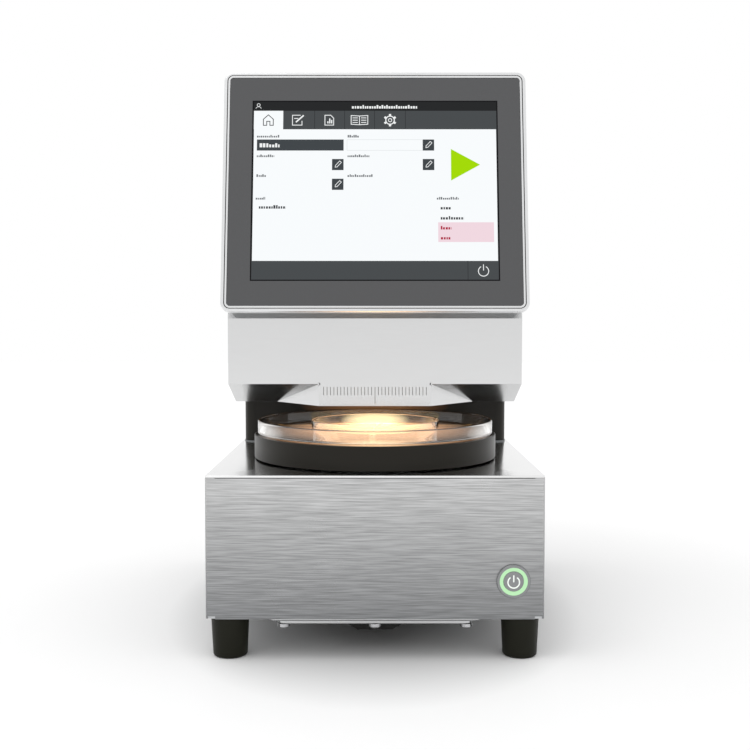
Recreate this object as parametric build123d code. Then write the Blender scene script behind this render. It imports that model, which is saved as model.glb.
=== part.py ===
from build123d import *
import os
from math import acos, atan2, cos, degrees, hypot, pi, radians, sin, tan

# Benchtop near-infrared analyzer, in millimetres. X runs across the machine, -Y is its front,
# and +Z is up. The origin is on the bench, under the middle of the machine.

# Sheet-metal body
body_width = 300.0
base_depth = 400.0
base_height = 128.0
sheet = 2.0
bend_radius = 0.5
seam_gap = 0.5
seam_corner = 9.0
top_edge_radius = 0.8
corner_notch_width = 8.5
corner_notch_height = 2.7
flange = 14.0

# Screws: bevel and socket as shares of the head, and a small screw's head as shares of its shank's radius
screw_bevel = 0.35
screw_socket = 0.4
small_head_radius = 2.0
small_head_height = 1.4

# Feet
foot_height = 37.0
foot_top_radius = 17.2
foot_bottom_radius = 15.4
foot_edge_radius = 2.5
foot_inset_x = 19.4
foot_inset_y = 18.8
foot_screw_radius = 3.0
foot_screw_head_radius = 5.5
foot_screw_head_height = 4.0
foot_recess_depth = 9.0

# Service hatch under the base
hatch_side_gap = 54.0
hatch_rim_height = 4.6
hatch_rim_front = 9.0
hatch_rim_length = 232.0
hatch_rim_overlap = 14.0
hatch_step_x = 7.8
hatch_step_y = 7.0
hatch_cover_height = 4.4
hatch_edge_radius = 1.5
hatch_corner_radius = 6.0
hatch_screw_inset = 9.0
hatch_screw_head_radius = 5.8
hatch_screw_head_height = 4.2
hatch_screw_radius = 2.0
grip_top_half_width = 24.3
grip_bottom_half_width = 15.8
grip_height = 10.8
grip_length = 60.0
grip_setback = 18.0
grip_wall = 3.0

# Turntable
turntable_setback = 132.5
ring_radius = 120.0
ring_height = 22.5
ring_gap = 1.5
ring_edge_bevel = 0.8
recess_depth = 2.0
dish_radius = 116.7
dish_clearance = 0.3
dish_height = 15.8
dish_wall = 2.6
dish_floor = 3.4
dish_edge_radius = 4.0
dish_rim_bevel = 0.8
dish_corner_bevel = 1.2
petri_radius = 63.5
petri_height = 11.6
petri_wall = 2.0
petri_floor = 2.2
petri_edge_radius = 2.0
deck_plate = 2.0
ledge_width = 9.0
ledge_height = 4.0
hub_bore_radius = 52.0
hub_wall = 5.0
hub_flange_radius = 78.0
arm_count = 6
arm_width = 14.0
arm_height = 5.0
arm_end_gap = 1.0
rotor_screw_radius = 1.5
collar_wall = 2.0
collar_height = 8.0
rotor_hole_gap = 3.0

# Slewing bearing
fit_gap = 0.05
running_gap = 0.08
side_gap = 0.3
bearing_height = 11.0
bearing_drop = 6.0
inner_ring_width = 5.0
thrust_rim_width = 3.0
thrust_rim_height = 3.0
liner_thickness = 1.5
housing_wall = 5.0
housing_flange_width = 16.0
housing_flange_height = 6.0
housing_lip = 3.0
housing_screw_count = 8
housing_screw_radius = 2.0

# Drive
gear_module = 1.5
gear_dedendum = 1.25
ring_teeth = 96
pinion_teeth = 18
pressure_angle = 20.0
backlash = 0.16
centre_clearance = 0.1
gear_height = 9.0
gear_web_height = 5.0
gear_rim = 4.125
pinion_hub_height = 5.0
pinion_hub_step = 1.425
shaft_radius = 2.5
motor_size = 42.0
motor_corner = 4.0
motor_length = 40.0
motor_pilot_radius = 11.0
motor_pilot_height = 2.0
bracket_sheet = 3.0
bracket_margin = 4.0
motor_screw_pitch = 31.0
motor_screw_radius = 1.5

# Lamp and window in the hub
window_radius = 43.0
window_glass = 3.0
window_drop = 1.5
window_lip = 1.6
window_recess = 0.5
barrel_wall = 2.0
barrel_flange_width = 5.0
barrel_flange_height = 4.0
bridge_height = 22.0
bridge_overhang = 16.0
bridge_length = 110.0
bridge_foot = 12.0
bridge_sheet = 2.5
reflector_radius = 42.0
reflector_depth = 34.0
reflector_wall = 1.5
reflector_steps = 5
lamp_socket_radius = 9.0
lamp_socket_height = 20.0
lamp_bulb_radius = 5.5
lamp_bulb_height = 24.0
lamp_bulb_bevel = 2.75
fin_count = 9
fin_pitch = 7.0
fin_thickness = 2.0
fin_height = 14.0
sink_base = 4.0

# Power button
button_side_gap = 27.7
button_rise = 34.3
button_flange_radius = 15.0
button_flange_height = 2.5
button_barrel_radius = 13.6
button_barrel_length = 28.0
light_ring_outer = 12.4
light_ring_inner = 9.3
light_ring_depth = 3.0
light_ring_recess = 0.4
cap_radius = 9.0
cap_recess = 0.5
cap_flange_radius = 10.6
cap_flange_height = 2.0
cap_travel = 2.0
cap_stem_radius = 2.5
button_end_wall = 2.0
button_edge_radius = 0.9
cap_edge_radius = 0.6
spring_wire = 0.7
spring_radius = 4.4
spring_turns = 4
nut_height = 4.0
nut_across_flats = 32.0
switch_size = 20.0
switch_length = 18.0

# Column between base and head
column_side_inset = 3.5
column_front_gap = 3.5
column_rear_inset = 15.0
column_corner_radius = 12.0
column_wall = 3.0
trim_height = 1.2
trim_proud = 0.6
trim_seat = 1.5
post_side_gap = 15.0
post_width = 60.0
post_depth = 36.0
post_sheet = 3.0
cable_slot_width = 80.0
cable_slot_depth = 40.0
cable_slot_corner = 8.0

# Head
head_overhang = 101.0
column_height = 48.5
chin_rise = 22.5
chin_run = 59.0
hopper_half_width = 57.3
hopper_side_gap = 44.7
knee_rise = 89.5
head_height = 325.0
rear_slope_run = 104.0
rear_slope_drop = 112.0
rear_return = 12.0
relief_radius = 1.4
scale_ticks = 31
scale_pitch = 3.5
tick_width = 0.6
tick_depth = 0.3
tick_length = 8.5
centre_tick_length = 17.0
tick_drop = 3.0

# Optics in the head
head_window_setback = 31.0
head_window_radius = 22.0
head_window_glass = 3.0
head_window_seat = 3.0
optics_deck_rise = 24.0
optics_deck_sheet = 3.0
optics_deck_side_gap = 55.0
optics_deck_rear_gap = 20.0
lens_radius = 16.0
lens_thickness = 6.0
lens_curve = 30.0
lens_barrel_wall = 3.0
lens_barrel_length = 52.0
lens_barrel_drop = 8.0
lens_flange_width = 5.0
reference_hinge_x = 62.0
reference_hinge_setback = 54.0
reference_tile_radius = 20.0
reference_tile_height = 3.0
reference_arm_height = 3.0
reference_arm_width = 12.0
reference_cup_wall = 2.0
reference_clearance = 2.5
servo_width = 22.0
servo_length = 30.0
servo_height = 24.0
spectrometer_width = 98.0
spectrometer_length = 84.0
spectrometer_height = 52.0
spectrometer_gap = 10.0
spectrometer_lid = 3.0
lid_overhang = 1.5
fibre_radius = 3.5
fibre_rise = 46.0
fibre_bend = 24.0
fibre_ferrule_radius = 6.0
fibre_ferrule_length = 12.0

# Display
display_tilt = 10.7
display_corner_radius = 9.5
display_depth = 35.0
frame_depth = 8.0
frame_band = 6.0
frame_bead = 3.2
frame_groove_width = 0.8
frame_groove_depth = 0.9
frame_edge_radius = 1.5
glass_recess = 0.4
glass_thickness = 2.0
glass_gap = 0.25
screen_width = 246.0
screen_height = 184.5
screen_rise = 32.2
screen_side_margin = 30.0
screen_top_margin = 31.3
lcd_border = 6.0
lcd_thickness = 7.0
housing_side_inset = 6.5
housing_top_inset = 6.0
housing_bottom_inset = 0.4
housing_corner_radius = 9.5
housing_sheet = 2.5
gasket_height = 1.0
gasket_inset = 1.6
gasket_width = 3.0

# Rear fittings and electronics
inlet_side_gap = 55.0
inlet_rise = 41.0
inlet_width = 50.0
inlet_height = 30.0
inlet_flange = 2.5
inlet_body_width = 28.0
inlet_body_height = 20.0
inlet_body_depth = 24.0
inlet_well_depth = 16.0
inlet_wall = 2.0
pin_width = 2.0
pin_length = 11.0
pin_pitch = 7.0
port_rise = 41.0
port_pitch = 34.0
port_count = 3
port_side_gap = 72.0
port_width = 22.0
port_height = 16.0
port_cap = 2.0
port_lip = 4.0
port_body_depth = 14.0
supply_width = 90.0
supply_length = 120.0
supply_height = 46.0
supply_gap = 5.0
supply_sheet = 1.5
supply_slot = 2.5
supply_slot_length = 54.0
supply_slot_count = 7
controller_width = 160.0
controller_height = 120.0
controller_rise = 80.0
controller_gap = 10.0
board_thickness = 1.6
board_post_radius = 3.0
board_post_inset = 8.0
chip_size = 30.0

# Places that follow from the sizes above
half_width = body_width / 2
base_front = -base_depth / 2
base_rear = base_depth / 2
floor_z = foot_height
floor_top = floor_z + sheet
base_top = foot_height + base_height
top_under = base_top - sheet
hatch_rim_half_width = half_width - hatch_side_gap
hatch_opening_half_width = hatch_rim_half_width - hatch_rim_overlap
bridge_half_width = hatch_opening_half_width + bridge_overhang
button_x = half_width - button_side_gap
button_z = floor_z + button_rise
inlet_x = inlet_side_gap - half_width
inlet_z = floor_z + inlet_rise
port_z = floor_z + port_rise
supply_y = base_rear - port_body_depth - supply_gap - supply_length / 2
table_y = base_front + turntable_setback
column_width = body_width - 2 * column_side_inset
column_front = table_y + ring_radius + column_front_gap
column_rear = base_rear - column_rear_inset
post_x = half_width - post_side_gap - post_width / 2
post_y = (column_front + column_rear) / 2
ring_bottom = base_top + ring_gap
ring_top = ring_bottom + ring_height
dish_seat = ring_top - recess_depth
deck_bottom = dish_seat - deck_plate
ledge_bottom = deck_bottom - ledge_height
arm_bottom = ledge_bottom - arm_height
ring_bore = dish_radius + dish_clearance
hub_radius = hub_bore_radius + hub_wall
rotor_hole_radius = hub_radius + rotor_hole_gap
bearing_top = top_under - bearing_drop
bearing_bottom = bearing_top - bearing_height
inner_ring_radius = hub_radius + inner_ring_width
thrust_rim_radius = inner_ring_radius + thrust_rim_width
liner_bore = inner_ring_radius + running_gap
liner_radius = thrust_rim_radius + running_gap + liner_thickness
housing_bore = liner_radius + fit_gap
housing_radius = housing_bore + housing_wall
housing_flange_radius = housing_radius + housing_flange_width
housing_low = bearing_bottom - housing_lip
gear_top = housing_low - side_gap
gear_bottom = gear_top - gear_height
ring_pitch_radius = gear_module * ring_teeth / 2
pinion_pitch_radius = gear_module * pinion_teeth / 2
pinion_y = table_y + ring_pitch_radius + pinion_pitch_radius + centre_clearance
motor_plate_z = gear_bottom - pinion_hub_height - side_gap - bracket_sheet
bridge_z = floor_top + bridge_height
lamp_glass_z = dish_seat - window_drop - window_recess - window_glass
head_front = column_front - head_overhang
head_rear = base_rear
rear_slope_top = head_rear - rear_slope_run
hopper_back_half_width = half_width - hopper_side_gap
head_window_y = head_front + head_window_setback
optics_deck_rear = head_rear - optics_deck_rear_gap
reference_hinge_y = head_window_y + reference_hinge_setback
spectrometer_y = optics_deck_rear - spectrometer_gap - spectrometer_length / 2
head_bottom = base_top + column_height
head_floor_top = head_bottom + sheet
chin_top = head_bottom + chin_rise
chin_back = head_front + chin_run
head_knee = head_bottom + knee_rise
head_top = head_bottom + head_height
optics_deck_z = head_floor_top + optics_deck_rise
optics_deck_top = optics_deck_z + optics_deck_sheet
display_width = screen_width + 2 * screen_side_margin
display_height = screen_rise + screen_height + screen_top_margin
tilt = radians(display_tilt)
display_y = head_front - display_depth * cos(tilt)
display_z = head_knee + display_depth * sin(tilt)
display_plane = Plane(origin=(0, display_y, display_z), x_dir=(1, 0, 0), z_dir=(0, -cos(tilt), sin(tilt)))
cut = 1.0


def save(node, *solids):
    """Write one sub-part, as one solid or as a group of separate solids."""
    pieces = [piece for solid in solids for piece in solid.solids()]
    shape = pieces[0] if len(pieces) == 1 else Compound(pieces)
    export_step(shape, f"parts/{node}.step")


def block(x0, x1, y0, y1, z0, z1):
    """Box between two corners."""
    size = (abs(x1 - x0), abs(y1 - y0), abs(z1 - z0))
    return Pos((x0 + x1) / 2, (y0 + y1) / 2, (z0 + z1) / 2) * Box(*size)


def disc(radius, z0, z1, x=0.0, y=0.0):
    """Upright cylinder."""
    return Pos(x, y, (z0 + z1) / 2) * Cylinder(radius, z1 - z0)


def tube(outer, inner, z0, z1, x=0.0, y=0.0):
    """Upright ring."""
    return disc(outer, z0, z1, x, y) - disc(inner, z0 - cut, z1 + cut, x, y)


def turned(points, x=0.0, y=0.0):
    """Solid of revolution about an upright axis, from (radius, height) points."""
    profile = Plane.XZ * make_face(Polyline(*points, close=True))
    return Pos(x, y, 0) * revolve(profile, Axis.Z)


def across(face, half):
    """Extrude a sketch in the YZ plane to both sides of the middle."""
    return extrude(Plane.YZ * face, half, both=True)


def area(y0, y1, z0, z1):
    """Rectangle in the YZ plane between two corners."""
    return Pos((y0 + y1) / 2, (z0 + z1) / 2) * Rectangle(y1 - y0, z1 - z0)


def around(count, radius, start=0.0):
    """Evenly spaced places on a circle, as x, y and angle."""
    angles = [start + 360.0 / count * i for i in range(count)]
    return [(radius * cos(radians(a)), radius * sin(radians(a)), a) for a in angles]


def socket_screw(head_radius, head_height, shank_radius, shank_length):
    """Socket screw with a bevelled head, head down, with the head's seat at z = 0."""
    head = disc(head_radius, -head_height, 0)
    head = chamfer(head.edges().group_by(Axis.Z)[0], head_height * screw_bevel)
    socket_outline = RegularPolygon(head_radius * screw_socket, 6)
    socket = extrude(Pos(0, 0, -head_height) * socket_outline, head_height / 2)
    return head - socket + disc(shank_radius, -head_height / 4, shank_length)


def small_screw(shank_radius, shank_length):
    """Socket screw whose head follows from its shank."""
    return socket_screw(shank_radius * small_head_radius, shank_radius * small_head_height, shank_radius,
                        shank_length)


def root_radius(teeth):
    """Radius at the bottom of a gear's tooth gaps."""
    return gear_module * (teeth / 2 - gear_dedendum)


def gear_face(teeth, bore):
    """Spur gear outline with involute flanks, one tooth centred on +Y, open at the bore."""
    pitch = gear_module * teeth / 2
    base = pitch * cos(radians(pressure_angle))
    root = root_radius(teeth)

    def involute(radius):
        angle = acos(base / radius)
        return tan(angle) - angle

    half_tooth = (pi * gear_module / 2 - backlash) / (2 * pitch)
    flank = [max(root, base), pitch, pitch + gear_module]
    spread = [half_tooth + involute(pitch) - involute(r) for r in flank]
    if root < base:
        flank.insert(0, root)
        spread.insert(0, spread[0])
    points = []
    for i in range(teeth):
        middle = pi / 2 + 2 * pi * i / teeth
        side = list(zip(flank, spread))
        outline = [(r, middle - a) for r, a in side] + [(r, middle + a) for r, a in reversed(side)]
        points += [(r * cos(a), r * sin(a)) for r, a in outline]
    return make_face(Polyline(*points, close=True)) - Circle(bore)


def foot_places():
    """Centres of the four feet, front left first."""
    x = half_width - foot_inset_x
    y = base_depth / 2 - foot_inset_y
    return [(-x, -y), (x, -y), (-x, y), (x, y)]


def port_places():
    """Middles of the rear ports."""
    last = half_width - port_side_gap
    return [last - port_pitch * i for i in reversed(range(port_count))]


def base_wrap():
    """Front and both sides of the base, one sheet bent round the upright front corners."""
    outer = block(-half_width, half_width, base_front, base_rear, floor_z, top_under)
    outer = fillet(outer.edges().filter_by(Axis.Z).group_by(Axis.Y)[0], bend_radius + sheet)
    inner = block(-half_width + sheet, half_width - sheet, base_front + sheet, base_rear + cut,
                  floor_z - cut, top_under + cut)
    shell = outer - fillet(inner.edges().filter_by(Axis.Z).group_by(Axis.Y)[0], bend_radius)
    slot_half = half_width - seam_corner
    shell -= block(-slot_half, slot_half, base_front - cut, base_front + sheet + cut,
                   top_under - seam_gap, top_under + cut)
    for side in (-1, 1):
        inner_x = side * (half_width - corner_notch_width)
        shell -= block(inner_x, side * (half_width + cut), base_front - cut, base_front + sheet + bend_radius,
                       floor_z - cut, floor_z + corner_notch_height)
    hole = button_disc(button_barrel_radius + fit_gap, -cut, sheet + cut)
    return shell - hole


def base_top_plate():
    """Flat top with a rolled front edge, the rotor's raised collar and the column's cable slot."""
    plate = block(-half_width, half_width, base_front, base_rear, top_under, base_top)
    plate = fillet(plate.edges().filter_by(Axis.Z).group_by(Axis.Y)[0], bend_radius + sheet)
    upper_front = plate.edges().filter_by(Axis.X).group_by(Axis.Y)[0].sort_by(Axis.Z)[-1]
    plate = fillet(upper_front, top_edge_radius)
    plate += disc(rotor_hole_radius + collar_wall, top_under, base_top + collar_height, 0, table_y)
    plate -= disc(rotor_hole_radius, top_under - cut, base_top + collar_height + cut, 0, table_y)
    return plate - cable_slot(top_under)


def cable_slot(z):
    """Round-ended slot through a sheet, for the cables in the column."""
    outline = RectangleRounded(cable_slot_width, cable_slot_depth, cable_slot_corner)
    return extrude(Pos(0, post_y, z - cut) * outline, sheet + 2 * cut)


def base_floor():
    """Floor tray with side flanges, open over the service hatch."""
    inner = half_width - sheet
    y0 = base_front + sheet + bend_radius
    y1 = base_rear - sheet
    floor = block(-inner, inner, y0, y1, floor_z, floor_top)
    for side in (-1, 1):
        floor += block(side * inner, side * (inner - sheet), y0, y1, floor_z, floor_z + flange)
    rim_front = base_front + hatch_rim_front
    opening = hatch_opening_half_width
    floor -= block(-opening, opening, rim_front + hatch_rim_overlap,
                   rim_front + hatch_rim_length - hatch_rim_overlap, floor_z - cut, floor_top + cut)
    for x, y in foot_places():
        floor -= disc(foot_screw_radius + fit_gap, floor_z - cut, floor_top + cut, x, y)
    return floor


def base_rear_panel():
    """Rear sheet between the sides, cut for the inlet and the ports."""
    inner = half_width - sheet
    panel = block(-inner, inner, base_rear - sheet, base_rear, floor_z, top_under)
    panel -= rear_block(inlet_x, inlet_z, inlet_body_width + 2 * fit_gap, inlet_body_height + 2 * fit_gap,
                        -sheet - cut, cut)
    port_hole = (port_width - port_lip + 2 * fit_gap, port_height - port_lip + 2 * fit_gap)
    for x in port_places():
        panel -= rear_block(x, port_z, *port_hole, -sheet - cut, cut)
    return panel


def rear_block(x, z, width, height, d0, d1):
    """Block on the rear panel, between two depths measured outwards from its face."""
    return block(x - width / 2, x + width / 2, base_rear + d0, base_rear + d1,
                 z - height / 2, z + height / 2)


def foot(x, y):
    """Tapered foot with a rounded sole and a recess for its screw."""
    body = Pos(x, y, foot_height / 2) * Cone(foot_bottom_radius, foot_top_radius, foot_height)
    body = fillet(body.edges().group_by(Axis.Z)[0], foot_edge_radius)
    body -= disc(foot_screw_head_radius + side_gap, -cut, foot_recess_depth, x, y)
    return body - disc(foot_screw_radius + fit_gap, 0, foot_height + cut, x, y)


def foot_screw(x, y):
    """Screw up through the foot into the floor."""
    screw = socket_screw(foot_screw_head_radius, foot_screw_head_height, foot_screw_radius,
                         foot_height - foot_recess_depth + sheet + foot_screw_radius)
    return Pos(x, y, foot_recess_depth) * screw


def channel(x, y, z0, z1):
    """Upright C-section post with an end plate at the top and at the bottom."""
    side = post_width / 2
    deep = post_depth / 2
    post = block(-side, side, -deep, post_sheet - deep, z0, z1)
    for s in (-1, 1):
        post += block(s * side, s * (side - post_sheet), -deep, deep, z0, z1)
    for low in (z0, z1 - post_sheet):
        post += block(-side, side, -deep, deep, low, low + post_sheet)
    return Pos(x, y, 0) * post


def build_base():
    """Sheet-metal base, its feet and the posts that carry the column and the head."""
    save("base_wrap", base_wrap())
    save("base_top_plate", base_top_plate())
    save("base_floor", base_floor())
    save("base_rear_panel", base_rear_panel())
    save("feet", *[foot(x, y) for x, y in foot_places()])
    spans = [(floor_top, top_under), (base_top, head_bottom)]
    save("frame_posts", *[channel(side * post_x, post_y, z0, z1) for side in (-1, 1) for z0, z1 in spans])


def build_hatch():
    """Raised rim, cover, screws and moulded grip of the hatch under the base."""
    y0 = base_front + hatch_rim_front
    y1 = y0 + hatch_rim_length
    rim_z = floor_z - hatch_rim_height
    cover_z = rim_z - hatch_cover_height
    rim = block(-hatch_rim_half_width, hatch_rim_half_width, y0, y1, rim_z, floor_z)
    rim = fillet(rim.edges().filter_by(Axis.Z), hatch_corner_radius)
    rim = chamfer(rim.faces().sort_by(Axis.Z)[0].edges(), hatch_edge_radius)
    opening = hatch_opening_half_width
    rim -= block(-opening, opening, y0 + hatch_rim_overlap, y1 - hatch_rim_overlap,
                 rim_z - cut, floor_z + cut)
    half = hatch_rim_half_width - hatch_step_x
    c0 = y0 + hatch_step_y
    c1 = y1 - hatch_step_y
    cover = block(-half, half, c0, c1, cover_z, rim_z)
    cover = fillet(cover.edges().filter_by(Axis.Z), hatch_corner_radius)
    cover = fillet(cover.faces().sort_by(Axis.Z)[0].edges(), hatch_edge_radius)
    side = half - hatch_screw_inset
    ends = (c0 + hatch_screw_inset, c1 - hatch_screw_inset)
    places = [(x, y) for x in (-side, 0, side) for y in ends] + [(x, (c0 + c1) / 2) for x in (-side, side)]
    for x, y in places:
        cover -= disc(hatch_screw_radius + fit_gap, cover_z - cut, rim_z + cut, x, y)
        rim -= disc(hatch_screw_radius + fit_gap, rim_z - cut, floor_z + cut, x, y)
    save("hatch_rim", rim)
    save("hatch_cover", cover)
    screw = socket_screw(hatch_screw_head_radius, hatch_screw_head_height, hatch_screw_radius,
                         hatch_cover_height + hatch_rim_height - cut)
    hatch_screws = [Pos(x, y, cover_z) * screw for x, y in places]
    save("underside_screws", *hatch_screws, *[foot_screw(x, y) for x, y in foot_places()])
    save("hatch_grip", hatch_grip(c0 + grip_setback + grip_length / 2, cover_z))


def hatch_grip(middle, cover_z):
    """Moulded block with sloping sides and a well for the fingertips, under the hatch's cover."""
    low_length = grip_length - 2 * (grip_top_half_width - grip_bottom_half_width)
    under = Pos(0, middle, cover_z - grip_height)
    top = Pos(0, middle, cover_z) * RectangleRounded(2 * grip_top_half_width, grip_length, grip_wall)
    low = under * RectangleRounded(2 * grip_bottom_half_width, low_length, grip_wall)
    well_width = 2 * (grip_bottom_half_width - grip_wall)
    well = under * RectangleRounded(well_width, low_length - 2 * grip_wall, grip_wall)
    return loft([top, low]) - extrude(well, grip_height - grip_wall)


def build_turntable():
    """Rotor that carries the dishes: ring, deck plate, spider hub and their screws."""
    ring = tube(ring_radius, ring_bore, ring_bottom, ring_top, 0, table_y)
    ring = chamfer(ring.edges().filter_by(GeomType.CIRCLE).sort_by(SortBy.RADIUS)[-2:], ring_edge_bevel)
    ledge_bore = ring_bore - ledge_width
    ring += tube(ring_bore + ring_edge_bevel, ledge_bore, ledge_bottom, deck_bottom, 0, table_y)
    places = around(arm_count, ring_bore - ledge_width / 2, 30)
    for x, y, _ in places:
        ring -= disc(rotor_screw_radius + fit_gap, ledge_bottom - cut, deck_bottom + cut, x, table_y + y)
    save("turntable_ring", ring)
    plate = tube(ring_bore - dish_clearance, hub_bore_radius, deck_bottom, dish_seat, 0, table_y)
    save("turntable_plate", plate)
    hub = turned([(hub_bore_radius, gear_bottom), (hub_radius, gear_bottom), (hub_radius, arm_bottom),
                  (hub_flange_radius, arm_bottom), (hub_flange_radius, deck_bottom),
                  (hub_bore_radius, deck_bottom)], 0, table_y)
    reach = ring_bore - arm_end_gap
    for _, _, angle in places:
        arm = block(hub_radius, ring_radius, -arm_width / 2, arm_width / 2, arm_bottom, ledge_bottom)
        hub += Pos(0, table_y, 0) * Rot(0, 0, angle) * (arm & disc(reach, arm_bottom, ledge_bottom))
    for x, y, _ in places:
        hub -= disc(rotor_screw_radius + fit_gap, arm_bottom - cut, ledge_bottom + cut, x, table_y + y)
    save("rotor_hub", hub)
    screw = small_screw(rotor_screw_radius, arm_height + ledge_height - cut)
    save("rotor_screws", *[Pos(x, table_y + y, arm_bottom) * screw for x, y, _ in places])


def glass_dish(radius, z0, height, wall, floor, edge):
    """Flat glass dish with a rounded foot, and bevels inside and at the rim."""
    body = disc(radius, z0, z0 + height, 0, table_y)
    body = fillet(body.edges().group_by(Axis.Z)[0], edge)
    well = disc(radius - wall, z0 + floor, z0 + height + cut, 0, table_y)
    body -= chamfer(well.edges().group_by(Axis.Z)[0], dish_corner_bevel)
    return chamfer(body.faces().sort_by(Axis.Z)[-1].edges(), dish_rim_bevel)


def build_dishes():
    """Large glass dish seated in the ring, and the small dish standing in it."""
    save("sample_dish", glass_dish(dish_radius, dish_seat, dish_height, dish_wall, dish_floor,
                                   dish_edge_radius))
    save("petri_dish", glass_dish(petri_radius, dish_seat + dish_floor, petri_height, petri_wall, petri_floor,
                                  petri_edge_radius))


def build_bearing():
    """Slewing bearing between hub and base: rimmed ring, two polymer liners and their housing."""
    low, high = bearing_bottom, bearing_top
    middle = (low + high) / 2
    rim_low = middle - thrust_rim_height / 2
    rim_high = middle + thrust_rim_height / 2
    bore = hub_radius + fit_gap
    ring = turned([(bore, low), (inner_ring_radius, low), (inner_ring_radius, rim_low),
                   (thrust_rim_radius, rim_low), (thrust_rim_radius, rim_high),
                   (inner_ring_radius, rim_high), (inner_ring_radius, high), (bore, high)], 0, table_y)
    save("bearing_ring", ring)
    save("bearing_liners", tube(liner_radius, liner_bore, low, rim_low - running_gap, 0, table_y),
         tube(liner_radius, liner_bore, rim_high + running_gap, high, 0, table_y))
    lip_bore = liner_bore + side_gap
    flange_z = top_under - housing_flange_height
    housing = turned([(housing_bore, low), (lip_bore, low), (lip_bore, housing_low),
                      (housing_radius, housing_low), (housing_radius, flange_z),
                      (housing_flange_radius, flange_z), (housing_flange_radius, top_under),
                      (lip_bore, top_under), (lip_bore, high), (housing_bore, high)], 0, table_y)
    places = housing_screw_places()
    for x, y in places:
        housing -= disc(housing_screw_radius + fit_gap, flange_z - cut, top_under + cut, x, y)
    save("bearing_housing", housing)


def housing_screw_places():
    """Screws round the bearing housing's flange."""
    radius = (housing_radius + housing_flange_radius) / 2
    return [(x, table_y + y) for x, y, _ in around(housing_screw_count, radius, 180 / housing_screw_count)]


def build_drive():
    """Ring gear on the hub, pinion on its shaft, motor and bracket."""
    bore = hub_radius + fit_gap
    gear = extrude(Pos(0, table_y, gear_bottom) * gear_face(ring_teeth, bore), gear_height)
    gear -= tube(root_radius(ring_teeth) - gear_rim, bore + hub_wall, gear_bottom + gear_web_height,
                 gear_top + cut, 0, table_y)
    gear += tube(bore + hub_wall - fit_gap, bore, gear_top - cut, bearing_bottom, 0, table_y)
    save("ring_gear", gear)
    face = Rot(0, 0, 180 + 180 / pinion_teeth) * gear_face(pinion_teeth, shaft_radius + fit_gap)
    pinion = extrude(Pos(0, pinion_y, gear_bottom) * face, gear_height)
    pinion_hub = root_radius(pinion_teeth) - pinion_hub_step
    pinion += tube(pinion_hub, shaft_radius + fit_gap, gear_bottom - pinion_hub_height, gear_bottom,
                   0, pinion_y)
    save("pinion", pinion)
    shaft_low = motor_plate_z - motor_length / 2
    save("motor_shaft", disc(shaft_radius, shaft_low, gear_top, 0, pinion_y))
    body = extrude(Pos(0, pinion_y, motor_plate_z - motor_length) *
                   RectangleRounded(motor_size, motor_size, motor_corner), motor_length)
    pilot_top = motor_plate_z + motor_pilot_height
    body += disc(motor_pilot_radius, motor_plate_z - cut, pilot_top, 0, pinion_y)
    body -= disc(shaft_radius + running_gap, shaft_low - side_gap, pilot_top + cut, 0, pinion_y)
    save("drive_motor", body)
    save("motor_bracket", motor_bracket())


def motor_bracket():
    """Z-shaped bracket: a plate on the motor's face, a wall behind it and a flange under the top."""
    half = motor_size / 2 + bracket_margin
    back = pinion_y + motor_size / 2 + bracket_margin + bracket_sheet
    low = motor_plate_z
    bracket = block(-half, half, pinion_y - motor_size / 2, back, low, low + bracket_sheet)
    bracket += block(-half, half, back - bracket_sheet, back, low, top_under)
    bracket += block(-half, half, back - bracket_sheet, back + flange, top_under - bracket_sheet, top_under)
    bracket -= disc(motor_pilot_radius + fit_gap, low - cut, low + bracket_sheet + cut, 0, pinion_y)
    for x, y in motor_screw_places():
        bracket -= disc(motor_screw_radius + fit_gap, low - cut, low + bracket_sheet + cut, x, y)
    return bracket


def motor_screw_places():
    """Four screws on the motor's face."""
    pitch = motor_screw_pitch / 2
    return [(sx * pitch, pinion_y + sy * pitch) for sx in (-1, 1) for sy in (-1, 1)]


def build_inner_fasteners():
    """Screws and the nut that nobody sees: bearing housing, motor and button."""
    housing_screw = small_screw(housing_screw_radius, housing_flange_height - cut)
    motor_screw = Rot(180, 0, 0) * small_screw(motor_screw_radius, bracket_sheet)
    flange_z = top_under - housing_flange_height
    screws = [Pos(x, y, flange_z) * housing_screw for x, y in housing_screw_places()]
    screws += [Pos(x, y, motor_plate_z + bracket_sheet) * motor_screw for x, y in motor_screw_places()]
    nut_outline = RegularPolygon(nut_across_flats / 2, 6, major_radius=False)
    nut = extrude(button_axis(sheet) * nut_outline, nut_height)
    nut -= button_disc(button_barrel_radius + fit_gap, 0, sheet + nut_height + cut)
    save("inner_fasteners", *screws, nut)


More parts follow.
